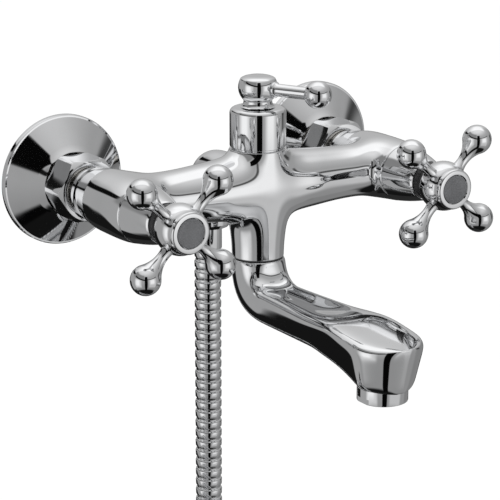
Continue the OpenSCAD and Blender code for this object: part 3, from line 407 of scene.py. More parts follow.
def turned(bm: Mesh, profile: Sequence[Point], place: Matrix, steps: int) -> None:
    """Spins a profile about the local Z axis.

    Args:
        bm: The mesh that the solid is added to.
        profile: [radius, height] points. It closes on itself where it doesn't end on the axis.
        place: Where the solid goes.
        steps: Faces round the axis.
    """
    made = [bm.verts.new((r, 0.0, h)) for r, h in profile]
    pairs = list(zip(made, made[1:]))
    if profile[0][0] > 0.0 or profile[-1][0] > 0.0:
        pairs.append((made[-1], made[0]))
    edges = [bm.edges.new(pair) for pair in pairs]
    bmesh.ops.spin(bm, geom=made + edges, axis=(0.0, 0.0, 1.0), angle=FULL_TURN, steps=steps, use_merge=True)
    fresh = list({v for e in edges for v in _island(e.verts[0])})
    bmesh.ops.transform(bm, matrix=place, verts=fresh)
    bmesh.ops.remove_doubles(bm, verts=fresh, dist=0.0005)


def _island(start: bmesh.types.BMVert) -> set[bmesh.types.BMVert]:
    """Every vertex that hangs together with this one.

    Args:
        start: The vertex.

    Returns:
        The vertices.
    """
    found, newest = {start}, {start}
    while newest:
        newest = {e.other_vert(v) for v in newest for e in v.link_edges} - found
        found |= newest
    return found


def lofted(bm: Mesh, rings: Sequence[Sequence[Vector]]) -> None:
    """Draws a closed skin over rings of points, by extruding each ring into the next.

    Args:
        bm: The mesh that the skin is added to.
        rings: Rings with the same number of points.
    """
    ring = [bm.verts.new(p) for p in rings[0]]
    edges = [bm.edges.new(pair) for pair in zip(ring, ring[1:] + ring[:1])]
    _fan(bm, edges, rings[0])
    for points in rings[1:]:
        grown = bmesh.ops.extrude_edge_only(bm, edges=edges)["geom"]
        fresh = {g for g in grown if isinstance(g, bmesh.types.BMVert)}
        ring = [next(o for o in (e.other_vert(v) for e in v.link_edges) if o in fresh) for v in ring]
        for vert, point in zip(ring, points):
            vert.co = point
        edges = [bm.edges.get(pair) for pair in zip(ring, ring[1:] + ring[:1])]
    _fan(bm, edges, rings[-1])


def _fan(bm: Mesh, edges: Edges, ring: Sequence[Vector]) -> None:
    """Closes a ring of edges with a fan round its middle.

    Args:
        bm: The mesh.
        edges: The ring's edges.
        ring: The ring's points.
    """
    centre = bm.verts.new(sum((Vector(p) for p in ring), Vector()) / len(ring))
    for edge in edges:
        bm.faces.new((edge.verts[0], edge.verts[1], centre))


def rounded(bm: Mesh, width: float) -> None:
    """Rounds every sharp edge.

    Args:
        bm: The mesh.
        width: Width of the rounding in millimetres.
    """
    bm.normal_update()
    whole = [e for e in bm.edges if len(e.link_faces) == 2]
    sharp = [e for e in whole if e.calc_face_angle(0.0) > LEAST_SHARP_ANGLE]
    bmesh.ops.bevel(
        bm, geom=sharp, offset=width, offset_type="OFFSET", segments=2, profile=0.5, affect="EDGES",
        clamp_overlap=True, material=-1,
    )


def carved(bm: Mesh, cutter: Mesh, operation: str) -> Mesh:
    """Cuts one mesh with another.

    Args:
        bm: The mesh that is cut. It is freed.
        cutter: The mesh that cuts it. It is freed.
        operation: DIFFERENCE, INTERSECT or UNION.

    Returns:
        A new mesh.
    """
    objects = []
    for source in (bm, cutter):
        bmesh.ops.recalc_face_normals(source, faces=source.faces)
        objects.append(linked("blank", source))
    modifier = objects[0].modifiers.new("cut", "BOOLEAN")
    modifier.operation = operation
    modifier.solver = "EXACT"
    modifier.object = objects[1]
    result = bmesh.new()
    result.from_object(objects[0], bpy.context.evaluated_depsgraph_get())
    for made in objects:
        data = made.data
        bpy.data.objects.remove(made)
        bpy.data.meshes.remove(data)
    bmesh.ops.remove_doubles(result, verts=result.verts, dist=0.002)
    return result


def linked(name: str, bm: Mesh) -> bpy.types.Object:
    """Makes an object of a mesh and puts it in the scene.

    Args:
        name: The object's name.
        bm: The mesh. It is freed.

    Returns:
        The object.
    """
    data = bpy.data.meshes.new(name)
    bm.to_mesh(data)
    bm.free()
    made = bpy.data.objects.new(name, data)
    bpy.context.scene.collection.objects.link(made)
    return made


def hex_prism(flats: float, low: float, high: float, place: Matrix, turn: float = 0.0) -> Mesh:
    """A hexagonal bar along the local Z axis.

    Args:
        flats: Distance across the flats.
        low: Height of its foot.
        high: Height of its top.
        place: Where the bar goes.
        turn: Turn about its axis in degrees.

    Returns:
        The bar's mesh.
    """
    bm = bmesh.new()
    bmesh.ops.create_circle(bm, cap_ends=True, segments=6, radius=flats / 2.0 / math.cos(math.pi / 6.0))
    bmesh.ops.rotate(bm, verts=bm.verts, matrix=Matrix.Rotation(math.radians(turn), 3, "Z"))
    bmesh.ops.translate(bm, verts=bm.verts, vec=(0.0, 0.0, low))
    grown = bmesh.ops.extrude_face_region(bm, geom=list(bm.faces))["geom"]
    fresh = [g for g in grown if isinstance(g, bmesh.types.BMVert)]
    bmesh.ops.translate(bm, verts=fresh, vec=(0.0, 0.0, high - low))
    bmesh.ops.transform(bm, matrix=place, verts=bm.verts)
    return bm


@dataclass
class Piece:
    """A finished piece of the visual model. Edges sharper than the split angle stay sharp."""

    name: str
    body: str
    finish: Finish
    stands_for: tuple[str, ...]
    subdivided: int = 0
    split: float = 32.0

    def finished(self, bm: Mesh) -> bpy.types.Object:
        """Makes the object from a mesh in millimetres, and hangs it on its body.

        Args:
            bm: The mesh. It is freed.

        Returns:
            The object.
        """
        bmesh.ops.recalc_face_normals(bm, faces=bm.faces)
        bmesh.ops.scale(bm, vec=(MM, MM, MM), verts=bm.verts)
        for face in bm.faces:
            face.smooth = True
        made = linked(self.name, bm)
        made.data.set_sharp_from_angle(angle=math.radians(self.split))
        made.data.materials.append(self.finish.build())
        if self.subdivided:
            smooth = made.modifiers.new("smooth", "SUBSURF")
            smooth.levels = self.subdivided
            smooth.render_levels = self.subdivided
        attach(made, self.body)
        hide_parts(*self.stands_for)
        LOG.info("%s on %s, %d faces", self.name, self.body, len(made.data.polygons))
        return made

    def spun(self, profile: Sequence[Point], place: Matrix, steps: int) -> None:
        """Makes the piece by spinning one profile.

        Args:
            profile: [radius, height] points.
            place: Where the piece goes.
            steps: Faces round the axis.
        """
        bm = bmesh.new()
        turned(bm, profile, place, steps)
        self.finished(bm)


# The object's sub-assemblies


class Side(Enum):
    """The two inlets: hot on the left, cold on the right."""

    LEFT = -1
    RIGHT = 1

    @property
    def place(self) -> Matrix:
        """Places a solid on the inlet's axis, pointing away from the wall."""
        quarter = Matrix.Rotation(math.radians(90.0), 4, "X")
        return Matrix.Translation((self.value * PITCH / 2.0, 0.0, 0.0)) @ quarter

    def piece(
        self, part: str, stands_for: str, body: str = "mixer", finish: Finish = CHROME, split: float = 32.0
    ) -> Piece:
        """A piece of this side, named after it like the node that it stands for.

        Args:
            part: The piece's name without its side.
            stands_for: The node's name without its side.
            body: The mixer, or the name of this side's moving body without its side.
            finish: Its finish.
            split: Edges sharper than this stay sharp, in degrees.

        Returns:
            The piece, still without a mesh.
        """
        word = self.name.lower()
        body = body if body == "mixer" else f"{word}_{body}"
        return Piece(f"{word}_{part}", body, finish, (f"{word}_{stands_for}",), split=split)


@dataclass
class ShowerHose:
    """The ribbed metal hose: a straight hanging stretch, then its tied coil."""

    coil_level: float = -262.0
    coil_lead: float = 24.0
    coil_r: float = 77.0
    coil_step: float = 15.0
    turns: float = 2.5
    hose_r: float = 6.9
    groove: float = 0.8
    rib_pitch: float = 5.4
    points_per_turn: int = 24
    straight_points: int = 16
    sides: int = 24

    def route(self) -> list[Vector]:
        """Centre line of the hose, from its ferrule to its far end.

        Returns:
            The points.
        """
        entry = self.coil_level + self.coil_lead
        x_end = -2.0 * self.coil_r
        y_end = -HOSE_STANDOFF - self.turns * self.coil_step
        points = [
            Vector((0.0, -HOSE_STANDOFF, between(HOSE_TOP, entry, i / self.straight_points)))
            for i in range(self.straight_points + 1)
        ]
        points.append(Vector((0.0, -HOSE_STANDOFF, entry - self.coil_lead / 2.0)))
        for i in range(round(self.turns * self.points_per_turn) + 1):
            turn = i / self.points_per_turn
            angle = FULL_TURN * turn
            points.append(Vector((
                -self.coil_r + self.coil_r * math.cos(angle),
                -HOSE_STANDOFF - self.coil_step * turn,
                self.coil_level - self.coil_r * math.sin(angle),
            )))
        points.append(Vector((x_end, y_end, entry - self.coil_lead / 2.0)))
        points.append(Vector((x_end, y_end, entry)))
        return points

    def ribs(self, total: float) -> list[Point]:
        """[distance, radius] along the hose, with the wound strip's rib in each pitch.

        Args:
            total: Length of the hose.

        Returns:
            The stations.
        """
        high, low = self.hose_r, self.hose_r - self.groove
        rise = [(0.0, low), (0.10, low), (0.16, high - 0.25), (0.30, high)]
        rib = rise + [(0.78, high - 0.12), (0.90, low + 0.12)]
        count = round(total / self.rib_pitch)
        pitch = total / count
        return [((k + part) * pitch, r) for k in range(count) for part, r in rib] + [(total, low)]

    def build(self) -> None:
        route = self.route()
        lengths = [0.0]
        for a, b in zip(route, route[1:]):
            lengths.append(lengths[-1] + (b - a).length)
        total = lengths[-1]
        side = Vector((0.0, 1.0, 0.0))
        rings = []
        segment = 0
        for at, r in self.ribs(total):
            while segment < len(route) - 2 and lengths[segment + 1] < at:
                segment += 1
            part = share(at, lengths[segment], lengths[segment + 1])
            centre = route[segment].lerp(route[segment + 1], part)
            along = course(route, segment).lerp(course(route, segment + 1), part).normalized()
            across = along.cross(side).normalized()
            rings.append(ring_about(centre, r, across, across.cross(along), self.sides))
        bm = bmesh.new()
        lofted(bm, rings)
        piece = Piece("ribbed_hose", "mixer", HOSE_CHROME, ("shower_hose", "hose_coil"), split=50.0)
        piece.finished(bm)


class Cage:
    """A coarse cage of tubes about junctions, which Subdivision Surface makes round."""

    # An octagon's limit curve is this much smaller than the octagon
    round_share: float = 0.9022

    def __init__(self) -> None:
        """Starts an empty cage."""
        self.bm = bmesh.new()
        self.placed = self.bm.verts.layers.int.new("placed")
        # Each point's angle about the X, Y and Z axes of its junction
        self.angles = [self.bm.verts.layers.float.new(f"angle_{axis}") for axis in "xyz"]

    def junction(
        self, centre: Vector, corner_at: Callable[[Signs], Vector], open_sides: Iterable[Signs]
    ) -> dict[Signs, list[bmesh.types.BMEdge]]:
        """Adds a cube of 26 points, opened where tubes leave it.

        Args:
            centre: The middle of the junction.
            corner_at: Gives each point's place from the centre by its signs.
            open_sides: The sides that tubes leave by.

        Returns:
            The ring of edges round each open side.
        """
        made = bmesh.ops.create_cube(self.bm, size=2.0)["verts"]
        edges = list({e for v in made for e in v.link_edges})
        bmesh.ops.subdivide_edges(self.bm, edges=edges, cuts=1, use_grid_fill=True)
        points = [v for v in self.bm.verts if not v[self.placed]]
        signs = {v: tuple(round(c) for c in v.co) for v in points}
        faces = list({f for v in points for f in v.link_faces})
        for vert in points:
            vert.co = centre + corner_at(signs[vert])
            vert[self.placed] = 1
            for axis, layer in enumerate(self.angles):
                first, second = self._across(axis)
                vert[layer] = math.atan2(signs[vert][second], signs[vert][first])
        rings, patches, centres = {}, set(), []
        for side in open_sides:
            axis = self._axis(side)
            patch = [f for f in faces if all(signs[v][axis] == side[axis] for v in f.verts)]
            middle = next(v for v in points if signs[v] == side)
            rings[side] = [e for e in {e for f in patch for e in f.edges} if middle not in e.verts]
            patches |= set(patch)
            centres.append(middle)
        bmesh.ops.delete(self.bm, geom=list(patches), context="FACES_ONLY")
        bmesh.ops.delete(self.bm, geom=centres, context="VERTS")
        return rings

    @staticmethod
    def _axis(side: Signs) -> int:
        """The axis that a side faces along."""
        return max(range(3), key=lambda i: abs(side[i]))

    @staticmethod
    def _across(axis: int) -> tuple[int, int]:
        """The two axes across an axis."""
        return ((1, 2), (2, 0), (0, 1))[axis]

    def tube(self, ring: Edges, side: Signs, centre: Vector, stations: Sequence[Point]) -> Edges:
        """Extrudes a tube from a ring.

        Args:
            ring: The ring of edges.
            side: The side that the tube leaves by.
            centre: A point on the tube's axis.
            stations: [radius, distance] of each new ring.

        Returns:
            The last ring of edges.
        """
        axis = self._axis(side)
        first, second = self._across(axis)
        edges = list(ring)
        for r, at in stations:
            grown = bmesh.ops.extrude_edge_only(self.bm, edges=edges)["geom"]
            fresh = {g for g in grown if isinstance(g, bmesh.types.BMVert)}
            edges = [g for g in grown if isinstance(g, bmesh.types.BMEdge) and set(g.verts) <= fresh]
            for vert in fresh:
                angle = vert[self.angles[axis]]
                place = centre.copy()
                place[axis] += side[axis] * at
                place[first] += r / self.round_share * math.cos(angle)
                place[second] += r / self.round_share * math.sin(angle)
                vert.co = place
        return edges

    def stub(self, ring: Edges, side: Signs, centre: Vector, stations: Sequence[Point]) -> None:
        """Extrudes a tube that ends in one flat face."""
        bmesh.ops.edgeloop_fill(self.bm, edges=self.tube(ring, side, centre, stations))

    def joined(self, first: Edges, second: Edges) -> None:
        """Bridges two rings."""
        bmesh.ops.bridge_loops(self.bm, edges=list(first) + list(second))


# Places of the middle junction's cage points, by their signs with those of X and Y made positive
HUB_CAGE: dict[Signs, tuple[float, float, float]] = {
    (1, 1, 1): (12.6, 11.9, 12.8),
    (1, 1, -1): (11.6, 11.9, -13.0),
    (1, 0, 1): (20.5, 0.0, 17.6),
    (1, 0, -1): (16.0, 0.0, -17.6),
    (1, 1, 0): (13.0, 16.4, 0.0),
    (0, 1, 1): (0.0, 15.6, 12.0),
    (0, 1, -1): (0.0, 15.6, -12.0),
    (0, 1, 0): (0.0, 16.6, 0.0),
}
# Places of a horn's cage points where the arm enters, by the size of their last two signs
ARM_MOUTH: dict[tuple[int, int], tuple[float, float, float]] = {
    (1, 1): (12.6, 11.2, 11.2),
    (0, 1): (13.4, 0.0, 14.2),
    (1, 0): (17.0, 14.4, 0.0),
    (0, 0): (17.0, 0.0, 0.0),
}


@dataclass
class Casting:
    """The cast body: column, arms, valve horns and the rear branch to the hose."""

    column_top_r: float = 14.0
    column_foot_r: float = 12.8
    column_drop: float = 35.6
    # [radius, distance from the column] along an arm
    arm: tuple[Point, ...] = ((15.0, 24.5), (14.5, 31.0), (13.85, 38.5), (13.35, 46.5), (13.25, 53.5))
    horn_back: float = 33.5
    horn_half: float = 11.5
    collar_r: float = 12.8
    belly_r: float = 15.5
    # The last ring on each flat end
    end_r: float = 6.0
    branch_r: float = 9.5
    branch_level: float = 1.0
    branch_foot: float = -12.5
    branch_sides: int = 16

    def hub_point(self, signs: Signs) -> Vector:
        """Place of a point of the middle junction's cage.

        Args:
            signs: The point's signs along X, Y and Z.

        Returns:
            The place from the junction's middle.
        """
        sx, sy, sz = signs
        x, y, z = HUB_CAGE.get((abs(sx), abs(sy), sz), (0.0, 0.0, 0.0))
        return Vector((sx * x, sy * y, z))

    def horn_point(self, arm: int, signs: Signs) -> Vector:
        """Place of a point of a horn junction's cage, with the arm on one side.

        Args:
            arm: Sign of the side that the arm is on.
            signs: The point's signs along X, Y and Z.

        Returns:
            The place from the junction's middle.
        """
        sx, sy, sz = signs
        if sx == arm:
            x, y, z = ARM_MOUTH[abs(sy), abs(sz)]
        else:
            x = z = self.belly_r / Cage.round_share * (math.sqrt(0.5) if sx and sz else 1.0)
            y = self.horn_half
        return Vector((sx * x, sy * y, sz * z))

    def build(self) -> None:
        """Builds the casting."""
        cage = Cage()
        middle = Vector((0.0, -STANDOFF, 0.0))
        up, down = (0, 0, 1), (0, 0, -1)
        rings = cage.junction(middle, self.hub_point, [(1, 0, 0), (-1, 0, 0), up, down])
        r, end = self.column_top_r, COLUMN_RISE
        cage.stub(rings[up], up, middle, [
            (r + 0.1, end - 0.9), (r, end - 0.25), (r - 0.15, end - 0.05), (r - 0.9, end), (self.end_r, end)
        ])
        r, end = self.column_foot_r, self.column_drop
        cage.stub(rings[down], down, middle, [
            (r + 0.6, 25.0), (r + 0.1, 31.0), (r, end - 0.5), (r, end - 0.12), (r - 0.7, end),
            (self.end_r, end)
        ])
        for side in Side:
            out = (side.value, 0, 0)
            self._add_horn(cage, side, cage.tube(rings[out], out, middle, self.arm))
        self._add_branch(cage.bm)
        Piece("cast_body", "mixer", CHROME, ("body_casting",), subdivided=3, split=180.0).finished(cage.bm)

    def _add_horn(self, cage: Cage, side: Side, arm: Edges) -> None:
        """Adds the valve horn at the end of an arm.

        Args:
            cage: The casting's cage.
            side: The inlet's side.
            arm: The last ring of the arm.
        """
        home, wall, front = (-side.value, 0, 0), (0, 1, 0), (0, -1, 0)
        middle = Vector((side.value * PITCH / 2.0, -STANDOFF, 0.0))
        joints = cage.junction(middle, partial(self.horn_point, -side.value), [home, wall, front])
        cage.joined(arm, joints[home])
        r, end = self.collar_r, STANDOFF - self.horn_back
        cage.stub(joints[wall], wall, middle, [
            (14.65, STANDOFF - 46.0), (13.6, STANDOFF - 40.6), (12.95, STANDOFF - 37.2), (r, STANDOFF - 36.0),
            (r, end - 0.5), (r, end - 0.12), (r - 0.7, end), (self.end_r, end)
        ])
        r, end = HORN_FRONT_R, HORN_FRONT - STANDOFF
        cage.stub(joints[front], front, middle, [
            (r + 0.4, end - 1.2), (r, end - 0.3), (r - 0.4, end), (self.end_r, end)
        ])

    def _add_branch(self, bm: Mesh) -> None:
        """Adds the branch that runs back from the column and turns down to the hose.

        Args:
            bm: The casting's mesh.
        """
        r, level, foot = self.branch_r, self.branch_level, self.branch_foot
        bend = r + 0.4
        quarter = bend_about((-HOSE_STANDOFF - bend, level - bend), bend, 90.0, 0.0, 4)
        start = [(4.0 - STANDOFF, level), (-HOSE_STANDOFF - bend - 8.0, level)]
        end = [(-HOSE_STANDOFF, foot + 0.6), (-HOSE_STANDOFF, foot)]
        route = [Vector((0.0, y, z)) for y, z in start + quarter + end]
        radii = [r] * (len(route) - 1) + [r - 0.4]
        across = Vector((1.0, 0.0, 0.0))
        lofted(bm, [
            ring_about(centre, radii[i], across, across.cross(course(route, i)), self.branch_sides)
            for i, centre in enumerate(route)
        ])
        turned(bm, [
            (0.0, foot), (r + 1.6, foot), (r + 2.0, foot + 0.4), (r + 2.0, foot + 3.4), (r + 1.4, foot + 4.0),
            (0.0, foot + 4.0)
        ], upright(-HOSE_STANDOFF), 2 * self.branch_sides)


@dataclass
class Inlet:
    """A wall flange and the union nut in front of it."""

    side: Side
    flange_r: float = 32.6
    rim: float = 3.3
    depth: float = 13.8
    lip_r: float = 16.6
    wall: float = 1.1
    bore_r: float = 13.4
    bore_back: float = 7.0
    cone_steps: int = 6
    nut_flats: float = 30.0
    nut_back: float = 14.3
    nut_front: float = 30.5
    thread_r: float = 13.3
    neck_r: float = 12.0

    def build(self) -> None:
        """Builds the pressed flange, and the nut with its corners turned off."""
        r, lip, rim, depth = self.flange_r, self.lip_r, self.rim, self.depth
        bore, back = self.bore_r, self.bore_back
        slope = (r - 1.2 - lip) / (depth - 0.6 - rim)
        parts = [i / self.cone_steps for i in range(1, self.cone_steps + 1)]
        cone = [(between(r - 1.2, lip + 0.4, t), between(rim, depth - 0.75, t)) for t in parts]
        self.side.piece("flange_shell", "wall_flange", split=16.0).spun([
            (r - self.wall, 0.0), (r - 0.15, 0.0), (r, 0.15), (r, rim - 0.9), (r - 0.12, rim - 0.45),
            (r - 0.5, rim - 0.12), (r - 1.2, rim), *cone, (lip, depth - 0.35), (lip - 0.5, depth),
            (lip - 1.1, depth - 0.25), (bore, depth - 0.8), (bore, back), (lip - 0.6, back),
            (lip + 0.4, depth - 2.1), (r - 1.2 - self.wall, rim - 2.0 + 0.4 * slope)
        ], self.side.place, 160)
        corner = self.nut_flats * 0.56
        low, high = self.nut_back, self.nut_front
        blank = bmesh.new()
        turned(blank, [
            (self.thread_r, low), (corner - 1.0, low), (corner, low + 0.7), (corner, high - 1.6),
            (corner - 2.0, high), (self.neck_r, high), (self.neck_r, high - 2.5), (self.thread_r, high - 2.5)
        ], self.side.place, 96)
        cutter = hex_prism(self.nut_flats, low - 1.0, high + 1.0, self.side.place, 30.0)
        nut = carved(blank, cutter, "INTERSECT")
        rounded(nut, NUT_ROUNDING)
        self.side.piece("nut_shell", "union_nut", split=12.0).finished(nut)


@dataclass
class ValveTrim:
    """The bell-shaped sleeve in front of a valve horn, and the black ring behind the handle, whose black is
    partly real plastic and partly painted shade for the shaded gap there.
    """

    side: Side
    sleeve_front: float = 102.0
    sleeve_front_r: float = 10.0
    ring_r: float = 9.3
    ring_front: float = 112.0
    neck_r: float = 7.65
    bore_r: float = 4.4

    def build(self) -> None:
        """Builds the sleeve and the ring."""
        rear, front = HORN_FRONT + 0.2, self.sleeve_front
        rear_r, front_r = HORN_FRONT_R, self.sleeve_front_r
        middle = (between(rear_r, front_r, 0.44), rear + 10.0)
        outside = curve_through((rear_r, rear + 0.3), middle, (front_r, front - 0.3), 18)
        self.side.piece("sleeve_shell", "valve_sleeve").spun([
            (self.neck_r, rear), (rear_r - 0.35, rear), *outside, (front_r - 0.3, front), (self.neck_r, front)
        ], self.side.place, 128)
        r, back, front = self.ring_r, self.sleeve_front + 0.1, self.ring_front
        # The black plastic ring also gives painted shade for the shaded gap between the sleeve and the handle
        self.side.piece("guide_shell", "guide_ring", finish=BLACK_RING_AND_SHADE).spun([
            (self.bore_r, back + 2.0), (self.neck_r, back + 2.0), (self.neck_r, back), (r - 0.3, back),
            (r, back + 0.3), (r, back + 3.2), (r - 0.35, back + 3.5), (r - 0.35, back + 4.1), (r, back + 4.4),
            (r, front - 0.3), (r - 0.3, front), (self.bore_r, front)
        ], self.side.place, 96)


@dataclass
class CrossHandle:
    """A cross handle with four ball-ended arms and a dark index disc, turned by degrees at rest."""

    side: Side
    turn: float
    plane: float = 116.0
    orbit: float = 28.3
    ball_r: float = 7.2
    waist_r: float = 2.6
    waist_at: float = 15.0
    flare: float = 14.0
    hub_r: float = 12.2
    hub_back: float = 6.0
    hub_bore_r: float = 9.9
    shoulder: float = 5.0
    front: float = 8.2
    ring_r: float = 10.0
    cap_r: float = 7.1
    cap_depth: float = 1.2
    bore_r: float = 4.2
    hollow: float = 3.6

    def build(self) -> None:
        """Builds the handle and its index disc."""
        bm = bmesh.new()
        self._add_hub(bm)
        level = Matrix.Translation((0.0, 0.0, self.plane))
        lying = Matrix.Rotation(math.radians(90.0), 4, "Y")
        for quarter in range(4):
            about = Matrix.Rotation(math.radians(self.turn + 45.0 + 90.0 * quarter), 4, "Z")
            self._add_arm(bm, self.side.place @ level @ about @ lying)
        self.side.piece("cross", "cross_handle", "handle").finished(bm)
        r, front = self.cap_r, self.plane + self.front
        seat = front - self.cap_depth
        crown = curve_through((r - 0.45, front - 0.05), (4.0, front + 0.18), (0.0, front + 0.28), 8)
        self.side.piece("index_disc", "index_cap", "handle", INDEX_DISC).spun([
            (0.0, seat), (r - 0.1, seat), (r, seat + 0.1), (r, front - 0.4), (r - 0.1, front - 0.2), *crown
        ], self.side.place, 96)

    def _add_hub(self, bm: Mesh) -> None:
        """Adds the hub, with the raised ring that holds the index disc.

        Args:
            bm: The handle's mesh.
        """
        back, step, front = self.plane - self.hub_back, self.plane + self.shoulder, self.plane + self.front
        r, ring, cap, inside = self.hub_r, self.ring_r, self.cap_r, self.plane + self.hollow
        side = curve_through((r - 0.7, back + 0.3), (r, self.plane - 1.0), (r - 1.5, step - 0.5), 14)
        lip = bend_about((ring - 1.1, front - 1.1), 1.1, 0.0, 90.0, 6)
        turned(bm, [
            (self.hub_bore_r, back), (r - 1.0, back), *side, (r - 1.9, step - 0.1), (ring + 0.1, step + 0.1),
            (ring - 0.35, step + 0.45), (ring - 0.35, step + 0.9), (ring, step + 1.2), *lip,
            (cap + 0.45, front), (cap + 0.12, front - 0.3), (cap + 0.1, front - self.cap_depth),
            (self.bore_r, front - self.cap_depth), (self.bore_r, inside), (self.hub_bore_r, inside)
        ], self.side.place, 128)

    def _add_arm(self, bm: Mesh, place: Matrix) -> None:
        """Adds an arm that flares from the hub's side to its waist and swells into the ball.

        Args:
            bm: The handle's mesh.
            place: The arm's axis, with local Z outwards from the hub.
        """
        span = self.orbit - self.waist_at
        fillet = (span ** 2 + self.waist_r ** 2 - self.ball_r ** 2) / (2.0 * (self.ball_r - self.waist_r))
        meet = self.waist_at + span * fillet / (fillet + self.ball_r)
        turn = math.degrees(math.asin((meet - self.waist_at) / fillet))
        centre = (self.waist_r + fillet, self.waist_at)
        neck = bend_about(centre, fillet, 180.0 + self.flare, 180.0 - turn, 22)
        r, at = neck[0]
        start = math.degrees(math.asin((meet - self.orbit) / self.ball_r))
        ball = bend_about((0.0, self.orbit), self.ball_r, start, 90.0, 26)[1:-1]
        turned(bm, [
            (0.0, at - 3.4), (r + 2.4, at - 3.4), (r + 2.4, at - 2.9), (r + 1.2, at - 1.9),
            (r + 0.45, at - 1.0), *neck, *ball, (0.0, self.orbit + self.ball_r)
        ], place, 64)


@dataclass
class Diverter:
    """The bonnet on the column, and the knob, rod and ball of the lever."""

    bonnet_r: float = 13.8
    bonnet_h: float = 20.0
    bonnet_foot: float = 6.3
    edge_r: float = 2.6
    hole_r: float = 5.3
    inside_r: float = 7.1
    knob_r: float = 9.6
    knob_centre: float = 48.2
    knob_h: float = 6.2
    stem_r: float = 4.1
    reach: float = 33.0
    rod_r: float = 3.1
    rod_start: float = 4.7
    ball_r: float = 6.7
    heading: float = 27.0

    def lever_place(self) -> Matrix:
        """Places a solid on the lever's axis, with local Z along the lever."""
        heading = Matrix.Rotation(math.radians(self.heading - 90.0), 4, "Z")
        return upright(-STANDOFF, self.knob_centre) @ heading @ Matrix.Rotation(math.radians(90.0), 4, "Y")

    def build(self) -> None:
        """Builds the bonnet and the lever's pieces."""
        self._build_bonnet()
        self._build_knob()
        self._build_rod()
        self._build_ball()

    def _build_bonnet(self) -> None:
        """Builds the bonnet with its rounded top edge."""
        r, low, top = self.bonnet_r, COLUMN_RISE, COLUMN_RISE + self.bonnet_h
        edge = bend_about((r - self.edge_r, top - self.edge_r), self.edge_r, 0.0, 90.0, 12)
        hole, inside, foot, under = self.hole_r, self.inside_r, low + self.bonnet_foot, top - 1.8
        Piece("bonnet_shell", "mixer", CHROME, ("diverter_bonnet",)).spun([
            (r - 1.6, low), (r - 0.9, low), (r - 0.7, low + 0.2), (r - 0.7, low + 0.85),
            (r - 0.25, low + 1.0), (r, low + 1.25), *edge, (hole + 0.4, top), (hole, top - 0.3),
            (hole, under), (inside, under), (inside, foot), (r - 1.6, foot)
        ], upright(-STANDOFF), 144)

    def _build_knob(self) -> None:
        """Builds the knob: a foot, a swelling side and a domed top."""
        mid, top = self.knob_centre, self.knob_centre + self.knob_h
        foot = COLUMN_RISE + self.bonnet_h + 0.3
        waist = curve_through((8.4, foot + 0.1), (7.3, foot + 1.4), (7.0, mid - 5.9), 10)
        side = curve_through((7.05, mid - 5.7), (self.knob_r, mid), (8.7, mid + 4.3), 18)
        Piece("knob_shell", "diverter", CHROME, ("diverter_knob",), split=40.0).spun([
            (self.stem_r, foot), (8.2, foot), *waist, *side, (8.45, mid + 4.75), (7.9, mid + 5.15),
            (6.9, mid + 5.6), (5.6, mid + 5.95), (4.0, mid + 6.13), (2.0, top), (0.0, top), (0.0, mid - 1.0),
            (self.stem_r, mid - 1.0)
        ], upright(-STANDOFF), 96)

    def _build_rod(self) -> None:
        """Builds the lever's rod with its flared root."""
        r, start, root = self.rod_r, self.rod_start, self.knob_r
        end, tip = self.reach - self.ball_r + 0.8, self.reach - 1.5
        Piece("rod_shell", "diverter", CHROME, ("lever_rod",)).spun([
            (0.0, start), (r - 0.45, start), (r - 0.45, root - 0.5), (r + 0.8, root - 0.45),
            (r + 0.95, root - 0.1), (r + 0.9, root + 0.35), (r + 0.5, root + 0.8), (r + 0.15, root + 1.3),
            (r, root + 2.0), (r, end - 0.2), (r - 0.2, end), (r - 0.8, end), (r - 0.8, tip), (0.0, tip)
        ], self.lever_place(), 64)

    def _build_ball(self) -> None:
        """Builds the lever's ball with a small collar where the rod enters."""
        r, inside = self.rod_r, self.reach - 1.4
        start = -math.degrees(math.acos((r + 0.55) / self.ball_r))
        ball = bend_about((0.0, self.reach), self.ball_r, start, 90.0, 40)[:-1]
        low = ball[0][1]
        Piece("ball_shell", "diverter", CHROME, ("lever_ball",)).spun([
            (0.0, inside), (r - 0.75, inside), (r - 0.75, low - 0.2), (r + 0.05, low - 0.2),
            (r + 0.45, low - 0.05), *ball, (0.0, self.reach + self.ball_r)
        ], self.lever_place(), 96)


